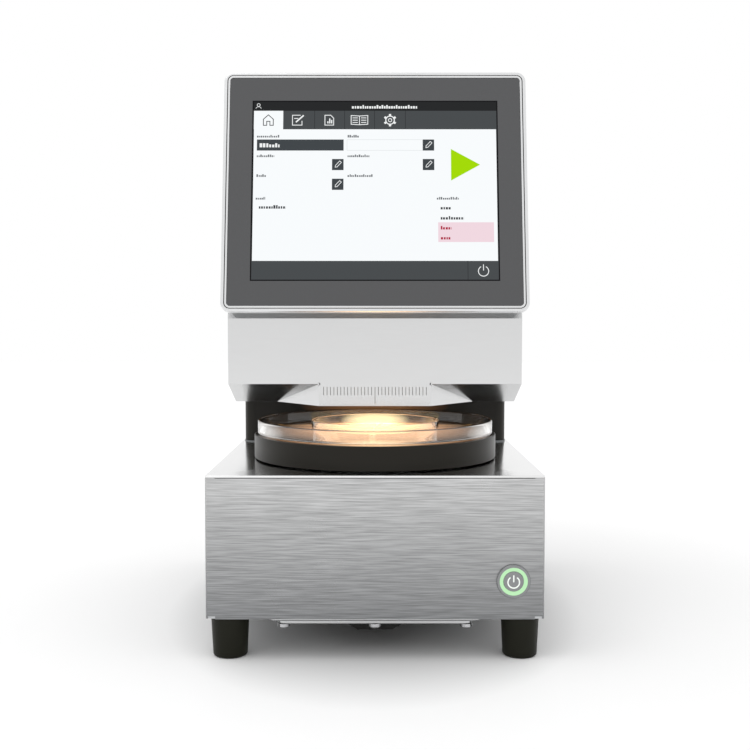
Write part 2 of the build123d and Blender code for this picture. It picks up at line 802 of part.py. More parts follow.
def build_lamp():
    """Fixed window and lamp that stand inside the hollow hub, on a bridge over the hatch."""
    bore = window_radius + fit_gap
    outer = bore + barrel_wall
    lip = window_radius - window_lip
    save("lamp_window", disc(window_radius, lamp_glass_z, lamp_glass_z + window_glass, 0, table_y))
    seat_low = lamp_glass_z - barrel_wall
    flange_top = bridge_z + barrel_flange_height
    foot_radius = outer + barrel_flange_width
    rim_top = dish_seat - window_drop
    barrel = turned([(bore, bridge_z), (foot_radius, bridge_z), (foot_radius, flange_top),
                     (outer, flange_top), (outer, rim_top), (bore, rim_top), (bore, lamp_glass_z),
                     (lip, lamp_glass_z), (lip, seat_low), (bore, seat_low)], 0, table_y)
    save("lamp_barrel", barrel)
    save("lamp_bridge", lamp_bridge())
    socket_z = bridge_z - bridge_sheet
    socket_top = socket_z + lamp_socket_height
    save("lamp_socket", disc(lamp_socket_radius, socket_z, socket_top, 0, table_y))
    bulb = disc(lamp_bulb_radius, socket_top, socket_top + lamp_bulb_height, 0, table_y)
    save("halogen_lamp", chamfer(bulb.edges().group_by(Axis.Z)[-1], lamp_bulb_bevel))
    save("reflector", reflector(socket_top))
    sink_z = socket_z - sink_base
    half = (fin_count - 1) / 2 * fin_pitch + fin_thickness
    sink = block(-half, half, table_y - half, table_y + half, sink_z, socket_z)
    for i in range(fin_count):
        x = (i - (fin_count - 1) / 2) * fin_pitch
        sink += block(x - fin_thickness / 2, x + fin_thickness / 2, table_y - half, table_y + half,
                      sink_z - fin_height, sink_z)
    save("heat_sink", sink)


def lamp_bridge():
    """Sheet bridge over the hatch opening, with a leg and a foot on each side."""
    y0 = table_y - bridge_length / 2
    y1 = table_y + bridge_length / 2
    bridge = block(-bridge_half_width, bridge_half_width, y0, y1, bridge_z - bridge_sheet, bridge_z)
    for side in (-1, 1):
        inner = side * (bridge_half_width - bridge_sheet)
        bridge += block(inner, side * bridge_half_width, y0, y1, floor_top, bridge_z)
        bridge += block(inner, side * (bridge_half_width + bridge_foot), y0, y1,
                        floor_top, floor_top + bridge_sheet)
    hole = disc(lamp_socket_radius + fit_gap, bridge_z - bridge_sheet - cut, bridge_z + cut, 0, table_y)
    return bridge - hole


def reflector(low):
    """Parabolic bowl round the lamp."""
    neck = lamp_bulb_radius + side_gap
    rise = reflector_depth / (reflector_radius ** 2 - neck ** 2)
    radii = [neck + (reflector_radius - neck) * i / reflector_steps for i in range(reflector_steps + 1)]
    inside = [(r, low + reflector_wall + rise * (r ** 2 - neck ** 2)) for r in radii]
    outside = [(r + reflector_wall / 2, z - reflector_wall) for r, z in inside]
    return turned(inside + outside[::-1], 0, table_y)


def button_axis(depth):
    """Plane across the button's axis at a depth behind the front, its normal pointing inwards."""
    return Plane(origin=(button_x, base_front + depth, button_z), x_dir=(1, 0, 0), z_dir=(0, 1, 0))


def button_disc(radius, d0, d1):
    """Cylinder on the button's axis between two depths behind the front."""
    return extrude(button_axis(d0) * Circle(radius), d1 - d0)


def build_button():
    """Lit push button: body, light ring, moving cap, spring and contact block."""
    face = -button_flange_height
    seat = face + light_ring_recess + light_ring_depth
    end = button_barrel_length
    inner_end = end - button_end_wall
    body = button_disc(button_flange_radius, face, 0) + button_disc(button_barrel_radius, face / 2, end)
    body = fillet(body.faces().sort_by(Axis.Y)[0].edges(), button_edge_radius)
    body -= button_disc(light_ring_outer + fit_gap, face - cut, seat)
    body -= button_disc(cap_flange_radius + running_gap, seat - cut, inner_end)
    save("button_body", body - button_disc(cap_stem_radius + side_gap, seat, end + cut))
    ring = button_disc(light_ring_outer, face + light_ring_recess, seat)
    save("button_light_ring", ring - button_disc(light_ring_inner, face - cut, seat + cut))
    flange_at = seat + side_gap
    cap = button_disc(cap_radius, face + cap_recess, flange_at)
    cap = fillet(cap.faces().sort_by(Axis.Y)[0].edges(), cap_edge_radius)
    cap += button_disc(cap_flange_radius, flange_at, flange_at + cap_flange_height)
    save("button_cap", cap + button_disc(cap_stem_radius, flange_at, end + cut))
    save("button_spring", coil(flange_at + cap_flange_height, inner_end))
    switch_outline = RectangleRounded(switch_size, switch_size, button_end_wall)
    switch = extrude(button_axis(end) * switch_outline, switch_length)
    save("button_switch", switch - button_disc(cap_stem_radius + side_gap, end - cut, end + 2 * cap_travel))


def coil(start, stop):
    """Compression spring on the button's axis, square wire, between two depths."""
    clear = spring_wire / 2 + fit_gap
    height = stop - start - 2 * clear
    path = Helix(pitch=height / spring_turns, height=height, radius=spring_radius)
    section = Plane(origin=path @ 0, z_dir=path % 0) * Rectangle(spring_wire, spring_wire)
    return button_axis(start + clear).location * sweep(section, path=path, is_frenet=True)


def column_outline(grow=0.0):
    """Column's plan with round front corners, grown or shrunk all round."""
    depth = column_rear - column_front
    face = Rectangle(column_width + 2 * grow, depth + 2 * grow)
    front = face.vertices().group_by(Axis.Y)[0]
    return Pos(0, (column_front + column_rear) / 2) * fillet(front, column_corner_radius + grow)


def build_column():
    """Dark cover between base and head, and the bright trim round its foot."""
    cover = extrude(Pos(0, 0, base_top) * column_outline(), column_height)
    cover -= extrude(Pos(0, 0, base_top - cut) * column_outline(-column_wall), column_height + 2 * cut)
    groove = column_outline(cut) - column_outline(-trim_seat)
    save("column_cover", cover - extrude(Pos(0, 0, base_top) * groove, trim_height))
    trim = column_outline(trim_proud) - column_outline(-trim_seat)
    save("column_trim", extrude(Pos(0, 0, base_top) * trim, trim_height))


def head_profile():
    """Side view of the head, from the chin over the top and down the rear."""
    front_top = head_front + (head_top - head_knee) * tan(tilt)
    return make_face(Polyline(
        (head_front, chin_top), (head_front, head_knee), (front_top, head_top),
        (rear_slope_top, head_top), (head_rear, head_top - rear_slope_drop), (head_rear, head_bottom),
        (chin_back, head_bottom), close=True))


def hopper_plan(inset=0.0):
    """Plan of the hopper under the chin, narrow at the scale and wider behind."""
    spread = (hopper_back_half_width - hopper_half_width) / chin_run
    slant = hypot(1, spread) * inset
    near = hopper_half_width + spread * inset - slant
    far = hopper_back_half_width - slant
    front = head_front + inset
    corners = [(-near, front), (near, front), (far, chin_back), (-far, chin_back)]
    return make_face(Polyline(*corners, close=True))


def build_head():
    """Folded head shell with its chin and scale hopper, floor sheet and rear cover."""
    inner = half_width - sheet
    profile = head_profile()
    ring = profile - offset(profile, -sheet, kind=Kind.INTERSECTION)
    rear = area(rear_slope_top - rear_return, head_rear + cut, head_floor_top, head_top + cut)
    low = area(chin_back, head_rear + cut, head_bottom - cut, head_floor_top)
    shell = across(ring - rear - low, inner)
    shell += across(profile, half_width) - across(profile, inner)
    below_chin = block(-half_width, half_width, head_front - cut, chin_back, head_bottom, chin_top)
    below_chin -= across(profile, half_width + cut)
    shell += extrude(Pos(0, 0, head_bottom) * hopper_plan(), chin_rise) & below_chin
    shell -= extrude(Pos(0, 0, head_bottom - cut) * hopper_plan(sheet), chin_rise + 2 * cut)
    for side in (-1, 1):
        corner = Plane(origin=(side * hopper_half_width, head_front - cut, chin_top), z_dir=(0, 1, 0))
        shell -= extrude(corner * Circle(relief_radius), sheet + 2 * cut)
    save("head_shell", shell - scale_marks())
    save("head_rear_cover", across(ring & rear, inner))
    floor = across(ring & low, inner)
    floor += extrude(Pos(0, 0, head_bottom) * hopper_plan(sheet), sheet)
    floor -= disc(head_window_radius, head_bottom - cut, head_floor_top + cut, 0, head_window_y)
    save("head_floor", floor - cable_slot(head_bottom))


def scale_marks():
    """Cutters for the engraved centring scale on the hopper's front."""
    marks = Part()
    for i in range(scale_ticks):
        place = (i - (scale_ticks - 1) / 2) * scale_pitch
        length = centre_tick_length if place == 0 else tick_length
        top = chin_top - tick_drop
        marks += block(place - tick_width / 2, place + tick_width / 2,
                       head_front - cut, head_front + tick_depth, top - length, top)
    return marks


def build_optics():
    """Downward optics in the head: window, deck, lens and reference arm."""
    save("head_window", disc(head_window_radius + head_window_seat, head_floor_top,
                             head_floor_top + head_window_glass, 0, head_window_y))
    barrel_r = lens_radius + fit_gap + lens_barrel_wall
    half = half_width - optics_deck_side_gap
    front = head_window_y - barrel_r - lens_flange_width
    deck = block(-half, half, front, optics_deck_rear, optics_deck_z, optics_deck_top)
    for side in (-1, 1):
        leg = side * (half - optics_deck_sheet)
        deck += block(leg, side * half, chin_back + flange, optics_deck_rear, head_floor_top, optics_deck_z)
    deck -= disc(barrel_r + fit_gap, optics_deck_z - cut, optics_deck_top + cut, 0, head_window_y)
    deck -= disc(shaft_radius + side_gap, optics_deck_z - cut, optics_deck_top + cut,
                 reference_hinge_x, reference_hinge_y)
    save("optics_deck", deck)
    low = optics_deck_z - lens_barrel_drop
    high = low + lens_barrel_length
    bore = lens_radius + fit_gap
    stop = lens_radius - lens_barrel_wall
    flange_top = optics_deck_top + lens_barrel_wall
    ferrule = fibre_ferrule_radius + fit_gap
    flange_r = barrel_r + lens_flange_width
    barrel = turned([(stop, low), (barrel_r, low), (barrel_r, optics_deck_top), (flange_r, optics_deck_top),
                     (flange_r, flange_top), (barrel_r, flange_top), (barrel_r, high), (ferrule, high),
                     (ferrule, high - lens_barrel_wall), (bore, high - lens_barrel_wall),
                     (bore, low + lens_barrel_wall), (stop, low + lens_barrel_wall)], 0, head_window_y)
    save("lens_barrel", barrel)
    lens_z = low + lens_barrel_wall
    lens_top = lens_z + lens_thickness
    lens = disc(lens_radius, lens_z, lens_top, 0, head_window_y)
    save("collecting_lens", lens & Pos(0, head_window_y, lens_top - lens_curve) * Sphere(lens_curve))
    build_reference()
    build_spectrometer(high)


def build_reference():
    """White reference tile in a cup on an arm that swings over the window, and its motor."""
    arm_z = head_floor_top + head_window_glass + reference_clearance
    arm_top = arm_z + reference_tile_height + reference_arm_height
    reach_x = -reference_hinge_x
    reach_y = head_window_y - reference_hinge_y
    reach = hypot(reach_x, reach_y)
    tile_x = reference_hinge_x + reach_y
    tile_y = reference_hinge_y - reach_x
    arm = disc(reference_tile_radius + reference_cup_wall, arm_z, arm_top, tile_x, tile_y)
    arm -= disc(reference_tile_radius + fit_gap, arm_z - cut, arm_z + reference_tile_height, tile_x, tile_y)
    bar = block(0, reach - reference_tile_radius, -reference_arm_width / 2, reference_arm_width / 2,
                arm_top - reference_arm_height, arm_top)
    arm += Pos(reference_hinge_x, reference_hinge_y, 0) * Rot(0, 0, degrees(atan2(-reach_x, reach_y))) * bar
    hinge = (reference_hinge_x, reference_hinge_y)
    boss_top = arm_top + reference_arm_height
    arm += disc(reference_arm_width / 2, arm_top - reference_arm_height, boss_top, *hinge)
    shaft_top = optics_deck_top + servo_height / 2
    arm += disc(shaft_radius, arm_top, shaft_top, *hinge)
    save("reference_arm", arm)
    tile = disc(reference_tile_radius, arm_z, arm_z + reference_tile_height, tile_x, tile_y)
    save("reference_tile", tile)
    motor = extrude(Pos(reference_hinge_x, reference_hinge_y, optics_deck_top) *
                    RectangleRounded(servo_width, servo_length, motor_corner), servo_height)
    motor -= disc(shaft_radius + running_gap, optics_deck_top - cut, shaft_top + side_gap, *hinge)
    save("reference_motor", motor)


def build_spectrometer(barrel_top):
    """Sealed spectrometer block with its lid, and the fibre that arches from the lens barrel into it."""
    half = spectrometer_width / 2
    y0 = spectrometer_y - spectrometer_length / 2
    y1 = spectrometer_y + spectrometer_length / 2
    lid_z = optics_deck_top + spectrometer_height
    top = lid_z + spectrometer_lid
    body = block(-half, half, y0, y1, optics_deck_top, lid_z)
    body = fillet(body.edges().filter_by(Axis.Z), spectrometer_lid)
    lid = block(-half - lid_overhang, half + lid_overhang, y0 - lid_overhang, y1 + lid_overhang, lid_z, top)
    body += fillet(lid.edges().filter_by(Axis.Z), spectrometer_lid + lid_overhang)
    body -= disc(fibre_ferrule_radius + fit_gap, top - fibre_ferrule_length, top + cut, 0, spectrometer_y)
    save("spectrometer", body)
    low = barrel_top - lens_barrel_wall
    high = barrel_top + fibre_rise
    end = top - fibre_ferrule_length
    path = FilletPolyline((0, head_window_y, low), (0, head_window_y, high), (0, spectrometer_y, high),
                          (0, spectrometer_y, end), radius=fibre_bend)
    fibre = sweep(Plane(origin=path @ 0, z_dir=path % 0) * Circle(fibre_radius), path=path)
    fibre += disc(fibre_ferrule_radius, low, low + fibre_ferrule_length, 0, head_window_y)
    fibre += disc(fibre_ferrule_radius, end, end + 2 * fibre_ferrule_length, 0, spectrometer_y)
    save("fibre_bundle", fibre)


def on_display(face, d0, d1):
    """Extrude a sketch of the display's front view between two depths behind its front."""
    return extrude(display_plane.offset(-d0) * face, d0 - d1)


def rounded(width, v0, v1, radius):
    """Rounded rectangle in the display's front view, between two heights."""
    return Pos(0, (v0 + v1) / 2) * RectangleRounded(width, v1 - v0, radius)


def build_display():
    """Tilted touch display: frame, cover glass, panel, gasket and rear housing."""
    inside = display_width - 2 * frame_band
    inner_radius = display_corner_radius - frame_band
    outer = rounded(display_width, 0, display_height, display_corner_radius)
    opening = rounded(inside, frame_band, display_height - frame_band, inner_radius)
    frame = on_display(outer, 0, frame_depth)
    frame = fillet(frame.faces().sort_by(Axis.Y)[0].edges(), frame_edge_radius)
    frame -= on_display(opening, -cut, frame_depth + cut)
    groove_in = frame_bead + frame_groove_width
    groove = rounded(display_width - 2 * frame_bead, frame_bead, display_height - frame_bead,
                     display_corner_radius - frame_bead)
    groove -= rounded(display_width - 2 * groove_in, groove_in, display_height - groove_in,
                      display_corner_radius - groove_in)
    save("display_frame", frame - on_display(groove, -cut, frame_groove_depth))
    glass = rounded(inside - 2 * glass_gap, frame_band + glass_gap, display_height - frame_band - glass_gap,
                    inner_radius - glass_gap)
    glass_back = glass_recess + glass_thickness
    save("display_glass", on_display(glass, glass_recess, glass_back))
    lcd = rounded(screen_width + 2 * lcd_border, screen_rise - lcd_border,
                  screen_rise + screen_height + lcd_border, board_thickness)
    save("lcd_panel", on_display(lcd, glass_back, glass_back + lcd_thickness))
    width = display_width - 2 * housing_side_inset
    v0 = housing_bottom_inset
    v1 = display_height - housing_top_inset
    front = frame_depth + gasket_height
    shell = on_display(rounded(width, v0, v1, housing_corner_radius), front, display_depth)
    hollow = rounded(width - 2 * housing_sheet, v0 + housing_sheet, v1 - housing_sheet,
                     housing_corner_radius - housing_sheet)
    shell -= on_display(hollow, front - cut, display_depth - housing_sheet)
    save("display_housing", shell)
    seal = rounded(width - 2 * gasket_inset, v0 + gasket_inset, v1 - gasket_inset,
                   housing_corner_radius - gasket_inset)
    seal_in = gasket_inset + gasket_width
    seal -= rounded(width - 2 * seal_in, v0 + seal_in, v1 - seal_in, housing_corner_radius - seal_in)
    save("display_gasket", on_display(seal, frame_depth, front))
    save("controller_board", controller_board())


def controller_board():
    """Circuit board on four posts behind the head's sloping front, with its larger parts."""
    wall = display_depth + sheet
    back = wall + controller_gap + board_thickness
    v0 = controller_rise
    v1 = controller_rise + controller_height
    board = on_display(rounded(controller_width, v0, v1, board_thickness), wall + controller_gap, back)
    side = controller_width / 2 - board_post_inset
    for x in (-side, side):
        for v in (v0 + board_post_inset, v1 - board_post_inset):
            board += on_display(Pos(x, v) * Circle(board_post_radius), wall, back)
    chip = Rectangle(chip_size, chip_size)
    for x, v in ((-chip_size, v0 + chip_size), (chip_size, v0 + chip_size), (0, v1 - chip_size)):
        board += on_display(Pos(x, v) * chip, back, back + board_thickness)
    return board


def build_rear():
    """Mains inlet, capped ports and the power supply behind them."""
    inlet = rear_block(inlet_x, inlet_z, inlet_width, inlet_height, 0, inlet_flange)
    inlet = fillet(inlet.edges().filter_by(Axis.Y), inlet_flange)
    inlet += rear_block(inlet_x, inlet_z, inlet_body_width, inlet_body_height,
                        -inlet_body_depth, inlet_flange)
    well = (inlet_body_width - 2 * inlet_wall, inlet_body_height - 2 * inlet_wall)
    well_end = inlet_flange - inlet_well_depth
    inlet -= rear_block(inlet_x, inlet_z, *well, well_end, inlet_flange + cut)
    for i, drop in ((-1, 0), (0, 1), (1, 0)):
        z = inlet_z - drop * inlet_wall
        inlet += rear_block(inlet_x + i * pin_pitch, z, pin_width, 2 * pin_width,
                            well_end - cut, well_end + pin_length)
    save("mains_inlet", inlet)
    ports = []
    for x in port_places():
        cap = rear_block(x, port_z, port_width, port_height, 0, port_cap)
        cap = fillet(cap.edges().filter_by(Axis.Y), port_cap)
        ports.append(cap + rear_block(x, port_z, port_width - port_lip, port_height - port_lip,
                                      -port_body_depth, 0))
    save("rear_ports", *ports)
    half = supply_width / 2
    y0 = supply_y - supply_length / 2
    y1 = supply_y + supply_length / 2
    supply = block(-half, half, y0, y1, floor_top, floor_top + supply_height)
    supply = fillet(supply.edges().filter_by(Axis.Y), supply_sheet)
    slot_half = supply_slot_length / 2
    supply_top = floor_top + supply_height
    for y in supply_slot_places(y0, y1):
        supply -= block(-slot_half, slot_half, y, y + supply_slot,
                        supply_top - supply_sheet, supply_top + cut)
    save("power_supply", supply)


def supply_slot_places(y0, y1):
    """Front edges of the cooling slots in the power supply's cover."""
    pitch = (y1 - y0) / (supply_slot_count + 1)
    return [y0 + pitch * (i + 1) - supply_slot / 2 for i in range(supply_slot_count)]


def build_all():
    """Write every sub-part of the analyzer."""
    os.makedirs("parts", exist_ok=True)
    build_base()
    build_hatch()
    build_turntable()
    build_dishes()
    build_bearing()
    build_drive()
    build_inner_fasteners()
    build_lamp()
    build_button()
    build_column()
    build_head()
    build_optics()
    build_display()
    build_rear()


build_all()
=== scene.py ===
import logging
from dataclasses import dataclass, replace
from enum import Enum
from math import cos, pi, radians, sin
from typing import Iterable, Sequence

import bmesh
import bpy
import numpy as np
from bpy.types import ID, Material, Node, NodeSocket, Object
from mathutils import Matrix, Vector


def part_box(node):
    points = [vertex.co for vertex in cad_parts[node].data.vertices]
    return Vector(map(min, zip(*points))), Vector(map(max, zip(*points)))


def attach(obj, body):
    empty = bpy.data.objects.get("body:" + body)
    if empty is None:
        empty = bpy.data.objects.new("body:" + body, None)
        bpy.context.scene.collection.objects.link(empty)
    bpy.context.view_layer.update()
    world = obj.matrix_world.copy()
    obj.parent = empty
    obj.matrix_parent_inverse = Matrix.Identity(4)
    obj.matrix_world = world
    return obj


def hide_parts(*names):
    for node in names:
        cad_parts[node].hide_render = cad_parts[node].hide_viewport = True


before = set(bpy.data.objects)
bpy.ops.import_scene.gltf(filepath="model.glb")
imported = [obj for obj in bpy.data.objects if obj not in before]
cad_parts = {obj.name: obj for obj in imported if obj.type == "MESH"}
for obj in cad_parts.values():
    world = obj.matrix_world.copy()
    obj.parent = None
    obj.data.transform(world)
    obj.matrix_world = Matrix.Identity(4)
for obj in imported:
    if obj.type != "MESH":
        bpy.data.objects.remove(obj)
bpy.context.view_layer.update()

MM = 0.001
MERGE = 1e-7
NODE_MERGE = 2e-6
FLAT = radians(0.5)
TURNS = 256
Pair = tuple[float, float]
Triple = tuple[float, float, float]
Colour = Triple
Outline = np.ndarray
BLACK = (0.0, 0.0, 0.0)
WHITE = (1.0, 1.0, 1.0)
RIGHT = np.array([1.0, 0.0, 0.0])
NOISE_RANGE = (0.3, 0.7)
log = logging.getLogger("analyzer")


class Grain(Enum):
    """Direction of the brush marks on a sheet, as a share of each axis."""

    ACROSS = (1, 0, 0)
    DEEP = (0, 1, 0)


class Body(Enum):
    """Bodies of the frame that the pieces ride on."""

    HOUSING = "housing"
    TURNTABLE = "turntable"
    SAMPLE_DISH = "sample_dish"
    PETRI_DISH = "petri_dish"
    POWER_CAP = "power_cap"


class Slot(Enum):
    """Material slots of the record, passed along with new pieces."""

    STAINLESS = "brushed_stainless"
    DARK_COATING = "dark_coating"
    FOOT_PLASTIC = "foot_plastic"
    BLACK_PLASTIC = "black_plastic"
    MACHINED_STEEL = "machined_steel"
    CLEAR_GLASS = "clear_glass"
    GREEN_LIGHT = "green_light"
    FRAME_ALUMINIUM = "frame_aluminium"
    CAST_ALUMINIUM = "cast_aluminium"
    DISPLAY_FACE = "display_face"


@dataclass(frozen=True)
class PaintedLightSpot:
    """Ellipsoid of painted lamp light in millimetres, glowing on a surface, which fades out from a core, a
    share of its radii.
    """

    centre: Triple
    radii: Triple
    colour: Colour
    core: float = 0.35


class Graph:
    """Node graph of one material, built round a Principled shader."""

    def __init__(self, name: str, colour: Colour, metallic: float, roughness: float) -> None:
        """Start a material.

        Args:
            name: The material's name.
            colour: Linear base colour.
            metallic: 0 for paint, plastic and glass, 1 for bare metal.
            roughness: Middle roughness of the surface.
        """
        self.material = bpy.data.materials.new(name)
        self.material.use_nodes = True
        self.tree = self.material.node_tree
        self.tree.nodes.clear()
        self.shader = self.add("ShaderNodeBsdfPrincipled")
        output = self.add("ShaderNodeOutputMaterial")
        self.join(self.shader.outputs[0], output.inputs["Surface"])
        self.set(**{"Base Color": (*colour, 1.0), "Metallic": metallic, "Roughness": roughness})

    def add(self, kind: str) -> Node:
        """Add a node of the given type."""
        return self.tree.nodes.new(kind)

    def join(self, source: NodeSocket, target: NodeSocket) -> None:
        """Link two sockets."""
        self.tree.links.new(source, target)

    def feed(self, name: str, source: NodeSocket) -> None:
        """Link a socket to the shader's input of the given name."""
        self.join(source, self.shader.inputs[name])

    def set(self, **values: object) -> None:
        """Set constants on the shader's inputs."""
        for name, value in values.items():
            self.shader.inputs[name].default_value = value

    def place(self, stretch: Sequence[float] = (1, 1, 1), centre: Sequence[float] = (0, 0, 0)) -> NodeSocket:
        """Object coordinates, moved to a centre and stretched.

        Args:
            stretch: Factor along each axis.
            centre: Point in metres that becomes the origin.

        Returns:
            The vector socket.
        """
        source = self.add("ShaderNodeTexCoord")
        mapping = self.add("ShaderNodeMapping")
        mapping.inputs["Scale"].default_value = stretch
        mapping.inputs["Location"].default_value = [-c * s for c, s in zip(centre, stretch)]
        self.join(source.outputs["Object"], mapping.inputs["Vector"])
        return mapping.outputs["Vector"]

    def noise(self, scale: float, detail: float, stretch: Sequence[float] = (1, 1, 1)) -> NodeSocket:
        """Fractal noise from 0 to 1, at a scale in features for each metre of the stretched coordinates."""
        node = self.add("ShaderNodeTexNoise")
        node.inputs["Scale"].default_value = scale
        node.inputs["Detail"].default_value = detail
        self.join(self.place(stretch), node.inputs["Vector"])
        return node.outputs["Fac"]

    def span(self, value: NodeSocket, start: float, end: float, low: float = 0.0,
             high: float = 1.0) -> NodeSocket:
        """Spread a value between start and end over the range from low to high."""
        node = self.add("ShaderNodeMapRange")
        for socket, number in (("From Min", start), ("From Max", end), ("To Min", low), ("To Max", high)):
            node.inputs[socket].default_value = number
        self.join(value, node.inputs["Value"])
        return node.outputs["Result"]

    def blend(self, factor: NodeSocket, first: Colour, second: Colour) -> NodeSocket:
        """Mix two colours by a factor."""
        node = self.add("ShaderNodeMix")
        node.data_type = "RGBA"
        sockets = [socket for socket in node.inputs if socket.type == "RGBA"]
        for socket, colour in zip(sockets, (first, second)):
            socket.default_value = (*colour, 1.0)
        self.join(factor, node.inputs["Factor"])
        return next(socket for socket in node.outputs if socket.type == "RGBA")

    def tint(self, factor: NodeSocket, colour: Colour, spread: float) -> None:
        """Vary the base colour round its middle by a factor between 0 and 1."""
        dark = tuple(c * (1 - spread) for c in colour)
        light = tuple(min(1.0, c * (1 + spread)) for c in colour)
        self.feed("Base Color", self.blend(factor, dark, light))

    def combine(self, operation: str, *vectors: NodeSocket) -> Node:
        """Vector Math node of the given operation over one or two vectors."""
        node = self.add("ShaderNodeVectorMath")
        node.operation = operation
        for vector, socket in zip(vectors, node.inputs):
            self.join(vector, socket)
        return node

    def distance(self, stretch: Sequence[float], centre: Sequence[float] = (0, 0, 0)) -> NodeSocket:
        """Distance from a centre, with each axis stretched by its factor."""
        return self.combine("LENGTH", self.place(stretch, centre)).outputs["Value"]

    def shade(self, painted_shade_tone: Colour, low: float, high: float) -> None:
        """Paint shade: multiply the base colour by a tone, which fades to white between two heights in
        metres.
        """
        rise = self.span(self.distance((0, 0, 1)), low, high)
        colour = self.shader.inputs["Base Color"].links[0].from_socket
        both = self.combine("MULTIPLY", colour, self.blend(rise, painted_shade_tone, WHITE))
        self.feed("Base Color", both.outputs["Vector"])

    def glow(self, spots: Sequence[PaintedLightSpot]) -> None:
        """Add up patches of painted light, glowing as emission: each is its colour times a share, from 1 at
        its core to 0 at its edge.
        """
        total = None
        for spot in spots:
            reach = self.distance([1 / (r * MM) for r in spot.radii], [c * MM for c in spot.centre])
            share = self.span(reach, spot.core, 1.0)
            light = self.blend(share, spot.colour, BLACK)
            total = light if total is None else self.combine("ADD", total, light).outputs["Vector"]
        self.feed("Emission Color", total)
        self.set(**{"Emission Strength": 1.0})

    def rough(self, factor: NodeSocket, middle: float, below: float, above: float) -> None:
        """Vary the roughness by a noise, from one share below its middle value to another above it."""
        self.feed("Roughness", self.span(factor, *NOISE_RANGE, middle * (1 - below), middle * (1 + above)))

    def bump(self, height: NodeSocket, depth: float, strength: float = 0.5) -> None:
        """Relief from a height, with its depth in metres."""
        node = self.add("ShaderNodeBump")
        node.inputs["Distance"].default_value = depth
        node.inputs["Strength"].default_value = strength
        self.join(height, node.inputs["Height"])
        self.feed("Normal", node.outputs["Normal"])


@dataclass(frozen=True)
class BrushedSheet:
    """Satin stainless or zinc-plated sheet with brush marks along one direction."""

    name: str
    colour: Colour
    roughness: float
    contrast: float
    grain: Grain = Grain.ACROSS
    mark_length: float = 0.030
    mark_width: float = 0.00065
    relief: float = 0.00003
    mark_range: Pair = (0.34, 0.66)
    wear_scale: float = 9.0
    gloss_spread: float = 0.15
    # Painted shade: a darker tone towards the bottom, standing in for the sheet's reflection of the shadowed
    # floor.
    painted_shade_tone: Colour = WHITE
    painted_shade_heights: Pair = (0.037, 0.163)

    def make(self) -> Material:
        """Streaks are noise stretched along the grain, and cloudy wear is a slow noise over them."""
        graph = Graph(self.name, self.colour, 1.0, self.roughness)
        stretch = [1 / self.mark_length if along else 1 / self.mark_width for along in self.grain.value]
        marks = graph.span(graph.noise(1.0, 5.0, stretch), *self.mark_range)
        wear = graph.noise(self.wear_scale, 3.0)
        graph.tint(marks, self.colour, self.contrast)
        # Painted shade, darker towards the bottom of the sheet.
        if self.painted_shade_tone != WHITE:
            graph.shade(self.painted_shade_tone, *self.painted_shade_heights)
        graph.rough(wear, self.roughness, self.gloss_spread, self.gloss_spread)
        graph.bump(marks, self.relief)
        return graph.material


@dataclass(frozen=True)
class Grained:
    """Surface with a fine grain in relief and slow wear in colour. Its gloss follows one of the two."""

    name: str
    colour: Colour
    roughness: float
    metallic: float = 0.0
    grain: float = 0.0005
    grain_depth: float = 0.00001
    detail: float = 3.0
    strength: float = 0.4
    wear_scale: float = 18.0
    contrast: float = 0.03
    gloss_range: Pair = (0.15, 0.15)
    worn_gloss: bool = False
    specular: float = 0.5
    # Patches of painted lamp light that glow on the surface.
    lit: tuple[PaintedLightSpot, ...] = ()

    def make(self) -> Material:
        """The grain is a fine noise, and the wear is a slow one."""
        graph = Graph(self.name, self.colour, self.metallic, self.roughness)
        grain = graph.noise(1 / self.grain, self.detail)
        wear = graph.noise(self.wear_scale, 3.0)
        graph.tint(wear, self.colour, self.contrast)
        graph.rough(wear if self.worn_gloss else grain, self.roughness, *self.gloss_range)
        graph.bump(grain, self.grain_depth, self.strength)
        graph.set(**{"Specular IOR Level": self.specular})
        # Painted lamp light, glowing as emission.
        if self.lit:
            graph.glow(self.lit)
        return graph.material


@dataclass(frozen=True)
class SatinCoat(Grained):
    """Powder coat with a slight orange peel."""

    colour: Colour = (0.0085, 0.0068, 0.0035)
    roughness: float = 0.34
    grain: float = 0.0012
    detail: float = 2.0
    wear_scale: float = 14.0
    contrast: float = 0.12
    gloss_range: Pair = (0.1, 0.1)
    worn_gloss: bool = True
    specular: float = 0.22


@dataclass(frozen=True)
class Moulding(Grained):
    """Moulded plastic or rubber with a fine spark-eroded grain."""

    colour: Colour = (0.014, 0.014, 0.013)
    roughness: float = 0.5
    grain: float = 0.0006
    grain_depth: float = 0.00003
    strength: float = 0.5
    wear_scale: float = 25.0
    contrast: float = 0.15
    gloss_range: Pair = (0.15, 0.1)
    specular: float = 0.3


@dataclass(frozen=True)
class MachinedMetal(Grained):
    """Blasted, cast, machined or anodised metal."""

    metallic: float = 1.0


@dataclass(frozen=True)
class ClearGlass:
    """Clear pressed glass with faint waves."""

    name: str
    colour: Colour = (0.975, 0.98, 0.975)
    ior: float = 1.48
    wave: float = 0.035
    wave_depth: float = 0.0003
    mark_scale: float = 60.0
    mark_roughness: float = 0.03
    # Patches of painted lamp light and reflections that glow in the glass.
    lit: tuple[PaintedLightSpot, ...] = ()

    def make(self) -> Material:
        """Waves are a slow noise in the relief, and handling marks vary the gloss a little."""
        graph = Graph(self.name, self.colour, 0.0, 0.0)
        graph.set(**{"Transmission Weight": 1.0, "IOR": self.ior})
        waves = graph.noise(1 / self.wave, 1.0)
        marks = graph.noise(self.mark_scale, 3.0)
        graph.feed("Roughness", graph.span(marks, *NOISE_RANGE, 0.0, self.mark_roughness))
        graph.bump(waves, self.wave_depth, 0.15)
        # Painted lamp light and reflections, glowing as emission.
        if self.lit:
            graph.glow(self.lit)
        return graph.material


